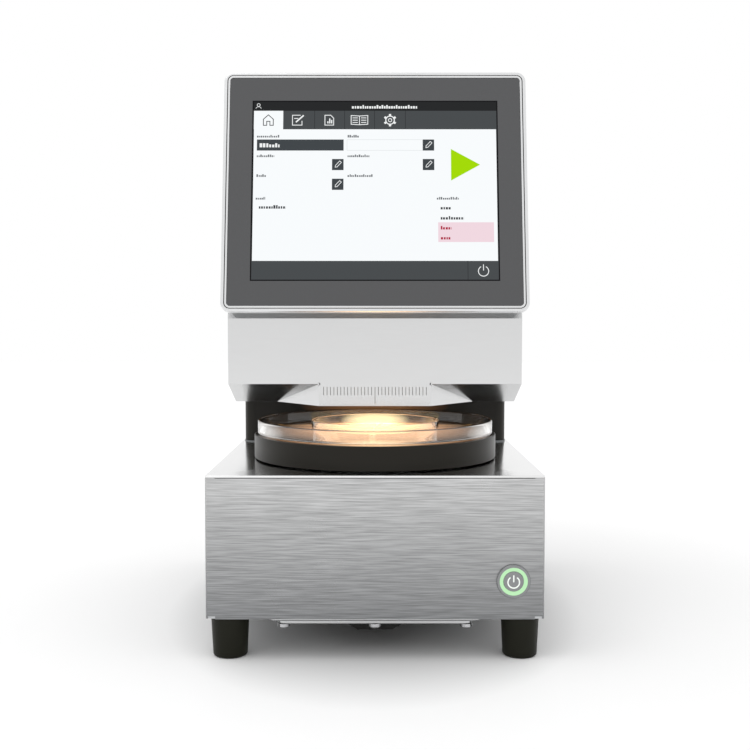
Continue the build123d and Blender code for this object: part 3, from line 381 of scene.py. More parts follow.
@dataclass(frozen=True)
class CoverGlass:
    """Printed cover glass of the display, glossy over a plain ink."""

    name: str
    colour: Colour = (0.068, 0.069, 0.072)
    roughness: float = 0.12
    smear_scale: float = 22.0
    ink_scale: float = 700.0
    ink_contrast: float = 0.03
    gloss_range: Pair = (0.3, 0.5)

    def make(self) -> Material:
        """Fingerprints are a slow noise in the gloss, and the ink is a fine noise in the colour."""
        graph = Graph(self.name, self.colour, 0.0, self.roughness)
        smears = graph.noise(self.smear_scale, 5.0)
        ink = graph.noise(self.ink_scale, 1.0)
        graph.tint(ink, self.colour, self.ink_contrast)
        graph.rough(smears, self.roughness, *self.gloss_range)
        return graph.material


@dataclass(frozen=True)
class LitArea:
    """Lit part of the screen or the button, in one colour that doesn't mirror."""

    name: str
    colour: Colour
    strength: float = 1.0
    unlit_share: float = 0.05
    flicker: float = 0.015
    pitch: float = 0.0007

    def make(self) -> Material:
        """The light varies by a fine noise of the pixels' pitch."""
        graph = Graph(self.name, tuple(c * self.unlit_share for c in self.colour), 0.0, 0.2)
        fine = graph.noise(1 / self.pitch, 1.0)
        dim = tuple(c * (1 - self.flicker) for c in self.colour)
        graph.feed("Emission Color", graph.blend(fine, dim, self.colour))
        graph.set(**{"Emission Strength": self.strength, "Specular IOR Level": 0.0})
        return graph.material


@dataclass(frozen=True)
class LampGlow:
    """Frosted lamp window, brightest in the middle and browner towards its edge."""

    name: str
    centre: Pair
    radius: float
    core: float = 0.25
    frosted: Colour = (0.6, 0.5, 0.4)
    middle: Colour = (1.0, 0.74, 0.38)
    edge: Colour = (0.50, 0.25, 0.11)
    strength: float = 0.8
    frosting_scale: float = 1500.0
    frosting_depth: float = 0.00002

    def make(self) -> Material:
        """The glow falls off with the distance from the lamp's axis, over a fine frosting."""
        graph = Graph(self.name, self.frosted, 0.0, 0.35)
        reach = graph.distance((1, 1, 0), (*self.centre, 0.0))
        share = graph.span(reach, self.radius * self.core, self.radius)
        graph.feed("Emission Color", graph.blend(share, self.middle, self.edge))
        graph.set(**{"Emission Strength": self.strength})
        graph.bump(graph.noise(self.frosting_scale, 2.0), self.frosting_depth)
        return graph.material


@dataclass(frozen=True)
class BoardLacquer:
    """Green lacquer of a circuit board, with the weave of its laminate."""

    name: str
    colour: Colour = (0.03, 0.16, 0.06)
    weave_scale: float = 900.0
    weave_contrast: float = 0.2
    weave_depth: float = 0.00002

    def make(self) -> Material:
        """The laminate is a fine noise in colour and relief."""
        graph = Graph(self.name, self.colour, 0.0, 0.3)
        weave = graph.noise(self.weave_scale, 2.0)
        graph.tint(weave, self.colour, self.weave_contrast)
        graph.bump(weave, self.weave_depth)
        return graph.material


# Painted light and reflections of the lamp round it, glowing on the column and the glass dishes. A dish's
# patches are measured from the middle of its underside.
COLUMN_PAINTED_LIGHT = (PaintedLightSpot((0.0, 56.0, 206.0), (85.0, 6.0, 16.0), (0.14, 0.062, 0.024)),)
DISH_PAINTED_LIGHT = (
    PaintedLightSpot((0.0, 0.0, 2.0), (120.0, 120.0, 4.0), (0.36, 0.215, 0.125), 0.6),
    PaintedLightSpot((0.0, -103.0, 1.5), (50.0, 22.0, 5.0), (0.38, 0.27, 0.16), 0.3),
    PaintedLightSpot((0.0, 56.0, 3.4), (122.0, 5.0, 2.5), (0.60, 0.33, 0.12), 0.3),
    PaintedLightSpot((-104.0, -52.0, 9.0), (26.0, 46.0, 9.0), (0.17, 0.165, 0.16), 0.3),
    PaintedLightSpot((104.0, -52.0, 9.0), (26.0, 46.0, 9.0), (0.17, 0.165, 0.16), 0.3),
)
PETRI_PAINTED_LIGHT = (
    PaintedLightSpot((0.0, 0.0, 1.2), (56.0, 60.0, 4.5), (0.37, 0.23, 0.09), 0.25),
    PaintedLightSpot((0.0, 62.0, 6.0), (54.0, 16.0, 8.0), (0.58, 0.46, 0.25), 0.35),
)


class Shop:
    """All finishes, made once each."""

    def __init__(self) -> None:
        """Name every finish of the analyzer."""
        # The front's colour darkens towards the bottom: painted shade for its reflection of the shadowed
        # floor.
        self.front_steel = BrushedSheet("front_steel", (0.50, 0.502, 0.503), 0.30, 0.24,
                                        painted_shade_tone=(0.4728, 0.48, 0.4896)).make()
        self.top_steel = BrushedSheet("top_steel", (0.80, 0.80, 0.80), 0.17, 0.02, relief=0.000008).make()
        self.head_steel = BrushedSheet("head_steel", (0.66, 0.662, 0.664), 0.18, 0.012,
                                       relief=0.000002).make()
        self.panel_steel = BrushedSheet("panel_steel", (0.64, 0.645, 0.65), 0.3, 0.04).make()
        # Steel with a warm tint of painted lamp light.
        self.deck_steel_painted_lamp_light = BrushedSheet("deck_steel_painted_lamp_light", (0.72, 0.66, 0.62), 0.2, 0.03).make()
        self.zinc = BrushedSheet("zinc", (0.52, 0.53, 0.54), 0.36, 0.06, Grain.DEEP).make()
        self.coat = SatinCoat("olive_black_coat").make()
        # Copy of the coat with painted lamp light glowing on the column.
        self.painted_lit_coat = SatinCoat("painted_lit_olive_black_coat", lit=COLUMN_PAINTED_LIGHT).make()
        self.foot = Moulding("foot_plastic", (0.0105, 0.0105, 0.006), 0.45, specular=0.14).make()
        self.plastic = Moulding("black_plastic").make()
        self.polymer = Moulding("bearing_polymer", (0.46, 0.38, 0.20), 0.45).make()
        self.ceramic = Moulding("white_ceramic", (0.80, 0.78, 0.74), 0.5).make()
        self.lens_glass = ClearGlass("lens_glass", wave=0.08).make()
        self.silver = MachinedMetal("silver_anodised", (0.74, 0.745, 0.75), 0.30).make()
        self.cast = MachinedMetal("machined_aluminium", (0.55, 0.56, 0.57), 0.4, contrast=0.06).make()
        self.grey_shell = MachinedMetal("grey_shell", (0.20, 0.207, 0.212), 0.45).make()
        self.steel = MachinedMetal("machined_steel", (0.58, 0.58, 0.59), 0.25).make()
        self.button = MachinedMetal("button_metal", (0.27, 0.275, 0.28), 0.28).make()
        self.board = BoardLacquer("board_lacquer").make()
        self.cover_glass = CoverGlass("cover_glass").make()
        self.green = LitArea("green_light", (0.52, 0.85, 0.50)).make()


def millimetres(node: str) -> tuple[np.ndarray, np.ndarray]:
    """Lowest and highest corner of a CAD node at rest, in millimetres."""
    low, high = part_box(node)
    return np.array(low) / MM, np.array(high) / MM


def arc(centre: Sequence[float], radius: float, start: float, end: float, steps: int) -> Outline:
    """Points on a circle from one angle to another, both in degrees, ends included."""
    angles = np.radians(np.linspace(start, end, steps))
    return np.column_stack([centre[0] + radius * np.cos(angles), centre[1] + radius * np.sin(angles)])


def linked(name: str, data: ID) -> Object:
    """New object of a mesh, lamp or camera in the scene, at the origin."""
    piece = bpy.data.objects.new(name, data)
    bpy.context.scene.collection.objects.link(piece)
    return piece


def new_mesh(name: str, points: np.ndarray, faces: Iterable[np.ndarray], sharp: float = 35.0) -> Object:
    """Object from points in millimetres and arrays of faces, merged, turned outwards and smooth.

    Args:
        name: The object's name.
        points: Array of n by 3.
        faces: Arrays of vertex numbers, each with one row for each face.
        sharp: Angle in degrees past which an edge stays sharp.

    Returns:
        The linked object.
    """
    rows = [row for block in faces for row in block.tolist()]
    mesh = bpy.data.meshes.new(name)
    mesh.from_pydata((points * MM).tolist(), [], rows)
    build = bmesh.new()
    build.from_mesh(mesh)
    bmesh.ops.remove_doubles(build, verts=build.verts, dist=MERGE)
    bmesh.ops.dissolve_degenerate(build, edges=build.edges, dist=MERGE)
    bmesh.ops.recalc_face_normals(build, faces=build.faces)
    build.to_mesh(mesh)
    build.free()
    mesh.shade_smooth()
    mesh.set_sharp_from_angle(angle=radians(sharp))
    return linked(name, mesh)


def lathe(name: str, profile: Outline, centre: Sequence[float], sharp: float = 35.0) -> Object:
    """Turned piece: the profile (r, z) at angle a becomes (x + r cos a, y + r sin a, z).

    Args:
        name: The object's name.
        profile: Closed loop of radius and height in millimetres. A point on the axis closes a pole.
        centre: Where the upright axis stands.
        sharp: Angle in degrees past which an edge stays sharp.

    Returns:
        The object.
    """
    angles = np.linspace(0, 2 * pi, TURNS, endpoint=False)
    radius, height = profile[:, 0], profile[:, 1]
    points = np.stack([
        centre[0] + np.outer(np.cos(angles), radius),
        centre[1] + np.outer(np.sin(angles), radius),
        np.tile(height, (TURNS, 1)),
    ], axis=-1)
    count = len(profile)
    near = np.arange(TURNS)[:, None] * count
    far = np.roll(near, -1, axis=0)
    here = np.arange(count)[None, :]
    after = np.roll(here, -1, axis=1)
    faces = np.stack([near + here, near + after, far + after, far + here], axis=-1).reshape(-1, 4)
    return new_mesh(name, points.reshape(-1, 3), [faces], sharp)


@dataclass(frozen=True)
class Face:
    """Flat face turned to the front and leaning back by an angle, with its origin in millimetres."""

    origin: Sequence[float]
    lean: float = 0.0

    def at(self, outline: Outline, height: float) -> np.ndarray:
        """Points (x, y) of an outline, at the origin + x to the right + y upwards + the height outwards."""
        up = np.array([0.0, sin(self.lean), cos(self.lean)])
        out = np.array([0.0, -up[2], up[1]])
        return self.origin + outline[:, :1] * RIGHT + outline[:, 1:] * up + height * out


def prisms(name: str, outlines: Sequence[Outline], face: Face, low: float, high: float,
           sharp: float = 20.0) -> Object:
    """One piece of flat shapes with straight sides, between two heights over a face."""
    points, blocks, first = [], [], 0
    for outline in outlines:
        count = len(outline)
        points += [face.at(outline, low), face.at(outline, high)]
        here = first + np.arange(count)
        after = first + np.roll(np.arange(count), -1)
        blocks += [here[None, ::-1], here[None, :] + count]
        blocks.append(np.stack([here, after, after + count, here + count], axis=-1))
        first += 2 * count
    return new_mesh(name, np.vstack(points), blocks, sharp)


def rectangle(x0: float, x1: float, y0: float, y1: float) -> Outline:
    """Corners of a rectangle, anticlockwise."""
    return np.array([(x0, y0), (x1, y0), (x1, y1), (x0, y1)], float)


def stroke(points: Sequence[Sequence[float]], width: float, close: bool = False) -> list[Outline]:
    """Each leg of a polyline as a rectangle of the pen's width, longer by half a width at both ends."""
    ends = np.array([*points, points[0]] if close else points, float)
    starts, stops = ends[:-1], ends[1:]
    along = (stops - starts) / np.linalg.norm(stops - starts, axis=1, keepdims=True) * width / 2
    side = np.column_stack([-along[:, 1], along[:, 0]])
    return list(np.stack([starts - along - side, stops + along - side, stops + along + side,
                          starts - along + side], axis=1))


def bow(centre: Sequence[float], radius: float, width: float, start: float, end: float,
        steps: int = 40) -> Outline:
    """Band of the pen's width along a circle, from one angle to another in degrees."""
    outer = arc(centre, radius + width / 2, start, end, steps)
    inner = arc(centre, radius - width / 2, end, start, steps)
    return np.vstack([outer, inner])


def ring_of(centre: Sequence[float], radius: float, width: float) -> list[Outline]:
    """Closed circle of the pen's width, in two halves."""
    return [bow(centre, radius, width, 0, 180), bow(centre, radius, width, 180, 360)]


def dress(piece: Object, material: Material, body: Body, slot: Slot,
          *stands_for: str) -> None:
    """Give a new piece its finish and body, and the CAD nodes it stands for."""
    piece.data.materials.clear()
    piece.data.materials.append(material)
    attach(piece, body.value)
    if stands_for:
        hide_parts(*stands_for)
    log.info("piece %s on %s, %d faces", piece.name, body.value, len(piece.data.polygons))


def coat(material: Material, *nodes: str) -> None:
    """Give CAD nodes a finish."""
    for node in nodes:
        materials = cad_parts[node].data.materials
        materials.clear()
        materials.append(material)
        log.info("node %s in %s", node, material.name)


def softened(node: str, name: str, radius: float, material: Material, slot: Slot = Slot.STAINLESS,
             angle: float = 32.0, segments: int = 3) -> Object:
    """Copy of a node of the housing with its sharp edges rounded, which stands for it.

    Its triangles are merged, and those in one plane joined, before the edges are rounded.

    Args:
        node: The CAD node.
        name: Name of the copy.
        radius: Edge radius in millimetres.
        material: Its finish.
        slot: The record's slot.
        angle: Edges sharper than this many degrees are rounded.
        segments: Faces across each rounded edge.

    Returns:
        The copy.
    """
    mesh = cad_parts[node].data.copy()
    mesh.name = name
    build = bmesh.new()
    build.from_mesh(mesh)
    bmesh.ops.remove_doubles(build, verts=build.verts, dist=NODE_MERGE)
    bmesh.ops.dissolve_limit(build, angle_limit=FLAT, verts=build.verts, edges=build.edges)
    build.to_mesh(mesh)
    build.free()
    mesh.shade_smooth()
    mesh.set_sharp_from_angle(angle=radians(angle))
    piece = linked(name, mesh)
    bevel = piece.modifiers.new("edge_radius", "BEVEL")
    bevel.width = radius * MM
    bevel.segments = segments
    bevel.limit_method = "ANGLE"
    bevel.angle_limit = radians(angle)
    bevel.harden_normals = True
    dress(piece, material, Body.HOUSING, slot, node)
    return piece


@dataclass
class SteelBase:
    """Sheet-metal base with its feet and the hatch underneath."""

    shop: Shop
    edge: float = 0.5
    screw_shift: float = 3.4
    screw_row: float = 40.0
    grip_top: float = 33.0
    grip_bottom: float = 16.2
    grip_slope: float = 2.0
    grip_wall: float = 3.0
    grip_well: float = 7.5

    def screws(self) -> Object:
        """Screws underneath, with the hatch's own ones moved outwards, as in the photograph.

        The hatch's screws lie within the cover's half width, and its side rows past a smaller distance from
        the middle. The feet's screws lie farther out and stay.
        """
        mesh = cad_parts["underside_screws"].data.copy()
        points = np.empty(len(mesh.vertices) * 3)
        mesh.vertices.foreach_get("co", points)
        points = points.reshape(-1, 3)
        low, high = millimetres("hatch_cover") * np.array(MM)
        away = np.abs(points[:, 0])
        side = (away > self.screw_row * MM) & (away < high[0])
        points[side, 0] += np.sign(points[side, 0]) * self.screw_shift * MM
        within = np.abs(points[:, 0]) < high[0]
        middle = (low[1] + high[1]) / 2
        points[within, 1] += np.sign(points[within, 1] - middle) * self.screw_shift * MM
        mesh.vertices.foreach_set("co", points.ravel())
        mesh.update()
        return linked("bottom_screws", mesh)

    def grip(self) -> Object:
        """Moulded grip: sides that slope in downwards, ends that slope less, and a well for the fingertips.

        Its skin passes through four rectangles: the top, the outer bottom, the well's mouth and its end.
        """
        low, high = millimetres("hatch_grip")
        mouth = self.grip_bottom - self.grip_wall
        inset = self.grip_slope + self.grip_wall
        levels = ((self.grip_top, high[2], 0.0), (self.grip_bottom, low[2], self.grip_slope),
                  (mouth, low[2], inset), (mouth, low[2] + self.grip_well, inset))
        points = np.vstack([np.column_stack([rectangle(-half, half, low[1] + ends, high[1] - ends), [z] * 4])
                            for half, z, ends in levels])
        here = np.arange(4)
        after = np.roll(here, -1)
        bands = [np.stack([here, here + 4, after + 4, after], axis=-1) + 4 * level for level in range(3)]
        return new_mesh("hatch_handle", points, [here[None, :], here[None, ::-1] + 12, *bands])

    def build(self) -> None:
        """Dress the base's sheets, feet and hatch."""
        shop = self.shop
        softened("base_wrap", "base_wrap_sheet", self.edge, shop.front_steel)
        softened("base_top_plate", "base_top_sheet", self.edge, shop.top_steel)
        softened("hatch_cover", "hatch_lid", self.edge, shop.panel_steel)
        softened("hatch_rim", "hatch_frame", self.edge, shop.panel_steel)
        softened("feet", "foot_set", self.edge, shop.foot, Slot.FOOT_PLASTIC)
        coat(shop.panel_steel, "base_rear_panel")
        coat(shop.zinc, "base_floor", "frame_posts", "power_supply")
        dress(self.screws(), shop.steel, Body.HOUSING, Slot.MACHINED_STEEL, "underside_screws")
        dress(self.grip(), shop.plastic, Body.HOUSING, Slot.BLACK_PLASTIC, "hatch_grip")
        coat(shop.steel, "inner_fasteners")
        coat(shop.plastic, "mains_inlet", "rear_ports")


@dataclass
class Turntable:
    """Rotor: the dark ring, its deck, hub, bearing and drive."""

    shop: Shop
    ring_wall: float = 3.0
    ring_edge: float = 0.9
    lip_edge: float = 0.36
    ledge_width: float = 9.0
    ledge_height: float = 4.0
    deck_drop: float = 4.0

    def ring_profile(self) -> Outline:
        """Section of a wall with rounded outer corners, and of a ledge inside that carries the deck."""
        low, high = millimetres("turntable_ring")
        outer = (high[0] - low[0]) / 2
        bore = outer - self.ring_wall
        edge = self.ring_edge
        lip = self.lip_edge
        ledge_top = high[2] - self.deck_drop
        return np.vstack([
            arc((outer - edge, low[2] + edge), edge, -90, 0, 7),
            arc((outer - edge, high[2] - edge), edge, 0, 90, 7),
            arc((bore + lip, high[2] - lip), lip, 90, 180, 5),
            rectangle(bore, bore - self.ledge_width, ledge_top, ledge_top - self.ledge_height),
            [(bore, low[2])],
        ])

    def build(self) -> None:
        """Turn the ring and dress the rotor's other nodes."""
        low, high = millimetres("turntable_ring")
        ring = lathe("turntable_rim", self.ring_profile(), (low + high)[:2] / 2)
        dress(ring, self.shop.coat, Body.TURNTABLE, Slot.DARK_COATING, "turntable_ring")
        # The deck's warm tint is painted lamp light.
        coat(self.shop.deck_steel_painted_lamp_light, "turntable_plate")
        coat(self.shop.cast, "rotor_hub", "bearing_ring", "bearing_housing")
        coat(self.shop.polymer, "bearing_liners")
        coat(self.shop.steel, "rotor_screws", "pinion", "motor_shaft")
        coat(self.shop.plastic, "ring_gear", "drive_motor")
        coat(self.shop.zinc, "motor_bracket")


@dataclass
class GlassDish:
    """Flat glass dish, turned: rounded foot, thick floor, straight wall and fire-polished rim."""

    node: str
    body: Body
    wall: float
    floor: float
    foot_radius: float
    corner_radius: float
    # Painted lamp light and reflections on the glass.
    lit: tuple[PaintedLightSpot, ...]

    def profile(self) -> Outline:
        """Section from the axis under the floor, round the foot and the rim, back to the axis inside."""
        low, high = millimetres(self.node)
        outer = (high[0] - low[0]) / 2
        rim = self.wall / 2
        foot = self.foot_radius
        corner = self.corner_radius
        inner = outer - self.wall
        top = high[2] - rim
        return np.vstack([
            [(0.0, low[2])],
            arc((outer - foot, low[2] + foot), foot, -90, 0, 12),
            arc((outer - rim, top), rim, 0, 180, 14),
            arc((inner - corner, low[2] + self.floor + corner), corner, 0, -90, 8),
            [(0.0, low[2] + self.floor)],
        ])

    def build(self) -> None:
        """Turn the dish, let it stand for its node and paint the lamp's light and reflections on its glass.
        """
        low, high = millimetres(self.node)
        name = self.node + "_glass"
        foot = np.array([0.0, (low[1] + high[1]) / 2, low[2]])
        spots = tuple(replace(spot, centre=tuple(foot + spot.centre)) for spot in self.lit)
        piece = lathe(name, self.profile(), (low + high)[:2] / 2, 60.0)
        dress(piece, ClearGlass(name, lit=spots).make(), self.body, Slot.CLEAR_GLASS, self.node)


@dataclass
class LampUnit:
    """Lamp, reflector and window in the hollow hub."""

    shop: Shop

    def build(self) -> None:
        """Dress the lamp and light its window."""
        low, high = millimetres("lamp_window")
        centre = tuple((low + high)[:2] / 2 * MM)
        radius = (high[0] - low[0]) / 2 * MM
        coat(LampGlow("lamp_glow", centre, radius).make(), "lamp_window")
        coat(self.shop.coat, "lamp_barrel")
        coat(self.shop.zinc, "lamp_bridge")
        coat(self.shop.ceramic, "lamp_socket")
        coat(self.shop.lens_glass, "halogen_lamp")
        coat(self.shop.cast, "reflector", "heat_sink")


@dataclass
class PowerButton:
    """Lit power button with its symbol."""

    shop: Shop
    symbol_radius: float = 5.1
    symbol_line: float = 1.15
    symbol_gap: float = 34.0
    symbol_drop: float = 0.6
    symbol_heights: Pair = (0.01, 0.06)

    def build(self) -> None:
        """Dress the button and print the power symbol, an open ring and a bar, on its cap."""
        low, high = millimetres("button_cap")
        middle = (low + high) / 2
        gap = self.symbol_gap
        shapes = [bow((0, -self.symbol_drop), self.symbol_radius, self.symbol_line, 90 + gap, 450 - gap)]
        shapes += stroke([(0, 0.0), (0, self.symbol_radius)], self.symbol_line)
        symbol = prisms("power_symbol", shapes, Face((middle[0], low[1], middle[2])), *self.symbol_heights)
        dress(symbol, LitArea("symbol_light", (0.95, 1.0, 0.95)).make(), Body.POWER_CAP, Slot.GREEN_LIGHT)
        coat(self.shop.button, "button_body", "button_cap")
        coat(self.shop.green, "button_light_ring")
        coat(self.shop.steel, "button_spring")
        coat(self.shop.plastic, "button_switch")


@dataclass
class Column:
    """Dark cover between base and head, with the trim at its foot."""

    shop: Shop
    edge: float = 0.3
    edge_angle: float = 40.0

    def build(self) -> None:
        """Dress the column."""
        # The column's coat carries painted lamp light just above the dish.
        softened("column_cover", "column_shell", self.edge, self.shop.painted_lit_coat, Slot.DARK_COATING,
                 self.edge_angle)
        coat(self.shop.grey_shell, "column_trim")


@dataclass
class Head:
    """Folded steel head with its scale, and the optics inside."""

    shop: Shop
    edge: float = 0.45
    fold_angle: float = 12.0
    tick_count: int = 31
    tick_pitch: float = 3.5
    tick_width: float = 0.6
    tick_length: float = 8.5
    centre_length: float = 17.0
    tick_drop: float = 3.0
    tick_depth: float = 0.3
    ink_heights: Pair = (0.005, 0.1)
    chin_rise: float = 22.5

    def ticks(self) -> list[Outline]:
        """Upright bars at an even pitch, the middle one twice as long."""
        places = (np.arange(self.tick_count) - (self.tick_count - 1) / 2) * self.tick_pitch
        lengths = np.where(places == 0, self.centre_length, self.tick_length)
        half = self.tick_width / 2
        top = self.chin_rise - self.tick_drop
        return [rectangle(x - half, x + half, top - length, top) for x, length in zip(places, lengths)]

    def build(self) -> None:
        """Round the head's folds, fill its scale with ink and dress the optics."""
        shop = self.shop
        low, _ = millimetres("head_shell")
        steel = shop.head_steel
        softened("head_shell", "head_folded_shell", self.edge, steel, angle=self.fold_angle)
        softened("head_rear_cover", "head_back", self.edge, steel)
        face = Face((0.0, low[1] + self.tick_depth, low[2]))
        ink = prisms("scale_ink", self.ticks(), face, *self.ink_heights)
        grey = Moulding("scale_ink", (0.16, 0.16, 0.16), 0.6).make()
        dress(ink, grey, Body.HOUSING, Slot.BLACK_PLASTIC)
        coat(steel, "head_floor")
        coat(shop.lens_glass, "head_window", "collecting_lens")
        coat(shop.zinc, "optics_deck")
        coat(shop.cast, "lens_barrel", "reference_arm", "spectrometer")
        coat(shop.ceramic, "reference_tile")
        coat(shop.plastic, "reference_motor", "fibre_bundle")


def power_sign(centre: Sequence[float], radius: float, width: float, gap: float = 28.0) -> list[Outline]:
    """Power symbol measured downwards: a ring open at the top, and a bar in the gap."""
    x, y = centre
    ring = bow(centre, radius, width, gap - 90, 270 - gap)
    return [ring, *stroke([(x, y - radius * 1.25), (x, y - radius * 0.2)], width)]


@dataclass
class Screen:
    """Lit picture of the display, in millimetres from the upper left corner of the lit area."""

    face: Face
    width: float = 246.0
    height: float = 184.5
    status_bottom: float = 9.7
    tabs_bottom: float = 29.2
    footer_top: float = 165.2
    home_tab: Pair = (0.6, 30.2)
    dividers: tuple[float, ...] = (62.0, 92.3, 122.5, 153.7)
    footer_divider: float = 215.2
    tab_icons: float = 19.6
    pencil: float = 11.6
    column_x: Pair = (4.0, 94.8)
    field_right: Pair = (91.4, 182.6)
    row_tops: tuple[float, ...] = (39.9, 60.3, 80.8)
    field_height: float = 11.6
    pen: float = 0.75
    margin: float = 0.3
    divider_half: float = 0.25
    film: float = 0.03
    film_share: float = 0.8
    film_gap: float = 0.01

    def lit(self, name: str, shapes: Sequence[Outline], colour: Colour, layer: int) -> None:
        """Add one colour's shapes as a lit film.

        Args:
            name: The piece's name.
            shapes: Outlines measured from the screen's upper left corner, downwards.
            colour: Linear colour of the light.
            layer: 0 for the back of the picture, and higher for what lies over it.
        """
        flipped = [shape * np.array([1.0, -1.0]) for shape in shapes]
        low = self.film_gap + layer * self.film
        piece = prisms(name, flipped, self.face, low, low + self.film_share * self.film)
        dress(piece, LitArea(name, colour).make(), Body.HOUSING, Slot.DISPLAY_FACE)

    def words(self, rows: Sequence[Triple], size: float, seed: int) -> list[Outline]:
        """Rows of small blocks of uneven width and height, where lines of writing would stand.

        Args:
            rows: Left end, middle height and length of each row.
            size: Height of the tallest blocks.
            seed: Seed of the first row's draws, which goes up by 1 from row to row.

        Returns:
            The blocks.
        """
        shapes = []
        for row, (x, y, length) in enumerate(rows):
            draw = np.random.default_rng(seed + row)
            place = x
            while place < x + length:
                wide = size * draw.uniform(0.38, 0.62)
                tall = size * draw.choice([0.66, 0.66, 0.7, 1.0])
                foot = y + size / 2
                shapes.append(rectangle(place, min(place + wide, x + length), foot - tall, foot))
                place += wide + size * draw.uniform(0.16, 0.26)
        return shapes

    def icons(self) -> list[Outline]:
        """Note, report, book and gear of the tab bar, and the user in the status bar."""
        y = self.tab_icons
        pen = self.pen
        book = 107.3
        lines = [
            ([(39.6, -5.2), (39.6, 5.2), (49.2, 5.2), (49.2, 1)], pen),
            ([(39.6, -5.2), (47.4, -5.2)], pen),
            ([(43.6, 1.6), (50.4, -4.6)], pen * 1.9),
            ([(41.6, -1.8), (45, -1.8)], pen),
            ([(72.4, 5.2), (72.4, -5.2), (78.2, -5.2), (81.2, -2.2), (81.2, 5.2), (72.4, 5.2)], pen),
        ]
        for side in (-1, 1):
            edge = book + side * 8.4
            lines.append(([(book, -4.4), (edge, -4.9), (edge, 4.3), (book, 4.8), (book, -4.4)], pen))
            for line in (-2.4, 0.0, 2.4):
                lines.append(([(book + side * 2, line), (book + side * 6.6, line)], pen))
        shapes = [leg for points, width in lines for leg in stroke(np.array(points) + (0.0, y), width)]
        shapes += [rectangle(74.8 + 1.9 * i, 76.0 + 1.9 * i, y + 3.4 - h, y + 3.4)
                   for i, h in enumerate((2.2, 5.2, 3.6))]
        shapes += ring_of((138.2, y), 4.3, 1.0) + ring_of((138.2, y), 1.7, pen)
        for angle in np.radians(np.arange(6) * 60 + 30):
            out = np.array([np.cos(angle), np.sin(angle)])
            shapes += stroke([(138.2, y) + out * 4.8, (138.2, y) + out * 5.4], 2.2)
        shapes += ring_of((5.2, 3.6), 1.5, 0.5) + [bow((5.2, 8.3), 2.9, 0.5, 200, 340)]
        return shapes

    def pencils(self) -> tuple[list[Outline], list[Outline]]:
        """Dark edit buttons beside the fields, and the pencils on them."""
        left, right = self.field_right
        corners = [(right, self.row_tops[0]), (right, self.row_tops[1]), (left, self.row_tops[1]),
                   (left, self.row_tops[2])]
        size = self.pencil
        plates = [rectangle(x - size, x, y, y + size) for x, y in corners]
        pens = []
        for x, y in corners:
            low = np.array([x - size * 0.72, y + size * 0.74])
            high = np.array([x - size * 0.26, y + size * 0.24])
            along = (high - low) / np.linalg.norm(high - low)
            side = np.array([-along[1], along[0]]) * 1.15
            tip = low + along * 1.6
            pens += stroke([low, tip + side, high + side, high - side, tip - side], 0.6, True)
        return plates, pens

    def build(self) -> None:
        """Lay the picture out in films: ground, bars, fields, then writing and icons."""
        top, bottom, gap = self.status_bottom, self.tabs_bottom, self.margin
        right, end = self.width - gap, self.height - gap
        ground = rectangle(0.8, self.width - 0.8, bottom, self.footer_top)
        rim = rectangle(-1.0, self.width + 1.0, -1.0, self.height + 1.0)
        bars = [rectangle(self.home_tab[1], right, top, bottom), rectangle(gap, right, self.footer_top, end)]
        self.lit("screen_border", [rim], (0.012, 0.012, 0.013), 0)
        self.lit("screen_ground", [ground, rectangle(*self.home_tab, top, bottom)], (0.90, 0.925, 0.94), 1)
        self.lit("screen_status_bar", [rectangle(gap, right, gap, top)], (0.022, 0.023, 0.024), 1)
        self.lit("screen_bars", bars, (0.066, 0.072, 0.076), 1)
        half = self.divider_half
        lines = [rectangle(x - half, x + half, top, bottom) for x in self.dividers]
        lines.append(rectangle(self.footer_divider - half, self.footer_divider + half, self.footer_top, end))
        self.lit("screen_dividers", lines, (0.028, 0.03, 0.032), 2)
        plates, pens = self.pencils()
        low = self.row_tops[0]
        high = low + self.field_height
        dark = rectangle(self.column_x[0], self.field_right[0], low, high)
        self.lit("screen_dark_fields", [dark, *plates], (0.054, 0.062, 0.068), 2)
        pale = rectangle(self.column_x[1], self.field_right[1] - self.pencil, low + 0.2, high - 0.2)
        self.lit("screen_field_edge", stroke(pale, 0.4, True), (0.68, 0.71, 0.72), 2)
        self.lit("screen_start_arrow", [np.array([(199.4, 49.8), (228.6, 66.2), (199.4, 82.7)])],
                 (0.352, 0.672, 0.003), 2)
        self.lit("screen_marked_rows", [rectangle(186.0, 241.6, 125.8, 146.0)], (0.84, 0.66, 0.72), 2)
        labels = [(4.0, 36.5, 23.0), (95.4, 36.5, 11.6), (4.0, 57.0, 17.6), (95.4, 57.0, 22.0),
                  (4.0, 77.6, 9.6), (95.4, 77.6, 25.4), (3.6, 101.1, 9.6), (184.9, 101.1, 22.0)]
        rows = [(6.9, 110.0, 27.0), (188.6, 110.8, 10.0), (188.6, 121.2, 23.0)]
        marked = [(188.6, 131.4, 10.6), (188.6, 141.6, 9.4)]
        self.lit("screen_labels", self.words(labels, 2.7, 0), (0.16, 0.17, 0.18), 3)
        self.lit("screen_entries", self.words(rows, 3.6, 20), (0.06, 0.065, 0.07), 3)
        self.lit("screen_marked_entries", self.words(marked, 3.6, 30), (0.42, 0.015, 0.05), 3)
        light = self.words([(99.6, 5.5, 66.0)], 3.6, 40) + self.words([(6.8, 46.0, 20.0)], 4.2, 41)
        light += self.icons() + pens + power_sign((230.6, 175.6), 5.1, 0.8)
        self.lit("screen_icons", light, (0.86, 0.88, 0.88), 3)
        house = [(10.2, 18.6), (15.2, 14.0), (20.2, 18.6), (20.2, 25.0), (16.8, 25.0), (16.8, 20.8),
                 (13.6, 20.8), (13.6, 25.0), (10.2, 25.0)]
        self.lit("screen_home_icon", stroke(house, 0.8, True), (0.03, 0.03, 0.032), 3)


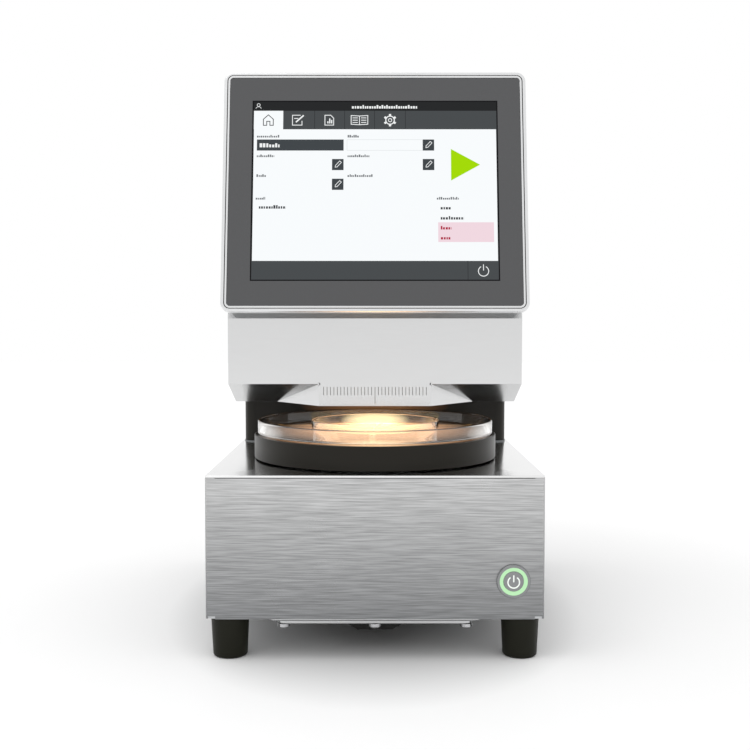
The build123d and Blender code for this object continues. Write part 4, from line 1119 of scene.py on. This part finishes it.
@dataclass
class Display:
    """Tilted display: frame, cover glass, lit picture, gasket and rear housing."""

    shop: Shop
    tilt: float = radians(10.7)
    glass_thickness: float = 2.0
    frame_depth: float = 8.0
    frame_edge: float = 0.25
    frame_angle: float = 40.0
    shell_edge: float = 0.6
    groove_inset: float = 3.2
    groove_width: float = 0.8
    groove_floor: float = 0.9
    line_height: float = 0.35
    line_play: float = 0.01
    corner_radius: float = 9.5
    screen_rise: float = 25.95

    def screen_face(self) -> Face:
        """Front of the cover glass, with its origin at the upper left corner of the lit area."""
        low, _ = millimetres("display_glass")
        edge = Face((0.0, low[1], low[2] + self.glass_thickness * sin(self.tilt)), self.tilt)
        corner = np.array([[-Screen.width / 2, self.screen_rise + Screen.height]])
        return Face(edge.at(corner, 0.0)[0], self.tilt)

    def groove_line(self) -> Object:
        """Dark line on the floor of the frame's groove, a closed stroke round the display.

        The tilted frame's own height is its box's height without the rise of its thickness, over the cosine.
        """
        low, high = millimetres("display_frame")
        thickness_rise = self.frame_depth * sin(self.tilt)
        rise = (high[2] - low[2] - thickness_rise) / cos(self.tilt)
        face = Face((0.0, low[1], low[2] + thickness_rise), self.tilt)
        radius = self.corner_radius - self.groove_inset - self.groove_width / 2
        x = high[0] - self.corner_radius
        y0, y1 = self.corner_radius, rise - self.corner_radius
        corners = ((x, y0), (x, y1), (-x, y1), (-x, y0))
        path = np.vstack([arc(corner, radius, 90 * i - 90, 90 * i, 8) for i, corner in enumerate(corners)])
        return prisms("frame_line", stroke(path, self.groove_width - 2 * self.line_play, True), face,
                      self.line_play - self.groove_floor, self.line_height - self.groove_floor)

    def build(self) -> None:
        """Dress the display and light its screen."""
        shop = self.shop
        dress(self.groove_line(), shop.plastic, Body.HOUSING, Slot.BLACK_PLASTIC)
        softened("display_frame", "display_bezel", self.frame_edge, shop.silver, Slot.FRAME_ALUMINIUM,
                 self.frame_angle, 2)
        softened("display_housing", "display_shell", self.shell_edge, shop.grey_shell, Slot.CAST_ALUMINIUM)
        coat(shop.cover_glass, "display_glass")
        coat(shop.plastic, "lcd_panel", "display_gasket")
        coat(shop.board, "controller_board")
        Screen(self.screen_face()).build()


@dataclass
class Studio:
    """Plain floor, soft light and the camera."""

    lens: float = 50.4
    distance: float = 1.1163
    height: float = 0.3031
    pitch: float = 3.09
    sensor: float = 36.0
    floor_half: float = 6.0
    floor_white: float = 0.97
    # Painted shadow: the floor greys from white to this tone towards the object, within these reaches.
    floor_painted_shade: float = 0.36
    painted_shade_reach: Pair = (0.215, 0.32)
    painted_shade_core: float = 0.25
    horizon: Pair = (0.45, 1.4)
    horizon_light: float = 0.12
    key_place: Triple = (-0.9, -0.6, 2.4)
    key_turn: Triple = (18.0, 0.0, -24.0)
    key_size: float = 1.6
    key_power: float = 9.0

    def floor(self) -> None:
        """White floor that keeps the shadow, with painted shadow that greys it under the object, and lit
        towards the horizon.
        """
        half = self.floor_half
        mesh = bpy.data.meshes.new("floor")
        corners = [(-half, -half, 0), (half, -half, 0), (half, half, 0), (-half, half, 0)]
        mesh.from_pydata(corners, [], [(0, 1, 2, 3)])
        plane = linked("floor", mesh)
        white, shade = (self.floor_white,) * 3, (self.floor_painted_shade,) * 3
        graph = Graph("floor_white", white, 0.0, 0.9)
        # Painted shadow: the floor's colour greys towards the object.
        reach = graph.distance((*(1 / r for r in self.painted_shade_reach), 0))
        away = graph.span(reach, self.painted_shade_core, 1.0)
        graph.feed("Base Color", graph.blend(away, shade, white))
        far = graph.span(graph.distance((1, 1, 0)), *self.horizon)
        graph.feed("Emission Color", graph.blend(far, BLACK, WHITE))
        graph.set(**{"Specular IOR Level": 0.0, "Emission Strength": self.horizon_light})
        mesh.materials.append(graph.material)

    def world(self) -> None:
        """White surroundings that light the object evenly."""
        world = bpy.data.worlds.new("studio")
        bpy.context.scene.world = world
        world.use_nodes = True
        tree = world.node_tree
        tree.nodes.clear()
        white = tree.nodes.new("ShaderNodeBackground")
        white.inputs["Color"].default_value = (*WHITE, 1.0)
        output = tree.nodes.new("ShaderNodeOutputWorld")
        tree.links.new(white.outputs[0], output.inputs["Surface"])

    def key_light(self) -> None:
        """Square light overhead, to the front and left."""
        data = bpy.data.lights.new("key", "AREA")
        data.shape = "SQUARE"
        data.size = self.key_size
        data.energy = self.key_power
        lamp = linked("key", data)
        lamp.location = self.key_place
        lamp.rotation_euler = [radians(a) for a in self.key_turn]

    def camera(self) -> None:
        """Camera straight in front, above the turntable and pitched down."""
        data = bpy.data.cameras.new("camera")
        data.lens = self.lens
        data.sensor_width = self.sensor
        view = linked("camera", data)
        view.location = (0.0, -self.distance, self.height)
        view.rotation_euler = (radians(90 - self.pitch), 0.0, 0.0)
        bpy.context.scene.camera = view

    def build(self) -> None:
        """Set the stage."""
        bpy.context.scene.view_settings.view_transform = "Standard"
        self.floor()
        self.world()
        self.key_light()
        self.camera()


def main() -> None:
    """Build the analyzer's pieces in order, then the studio."""
    logging.basicConfig(level=logging.INFO, format="%(message)s")
    shop = Shop()
    dishes = (GlassDish("sample_dish", Body.SAMPLE_DISH, 2.6, 3.4, 4.0, 1.8, DISH_PAINTED_LIGHT),
              GlassDish("petri_dish", Body.PETRI_DISH, 2.0, 2.2, 2.0, 1.2, PETRI_PAINTED_LIGHT))
    for assembly in (SteelBase(shop), Turntable(shop), *dishes, LampUnit(shop), PowerButton(shop),
                     Column(shop), Head(shop), Display(shop), Studio()):
        assembly.build()


if __name__ == "__main__":
    main()
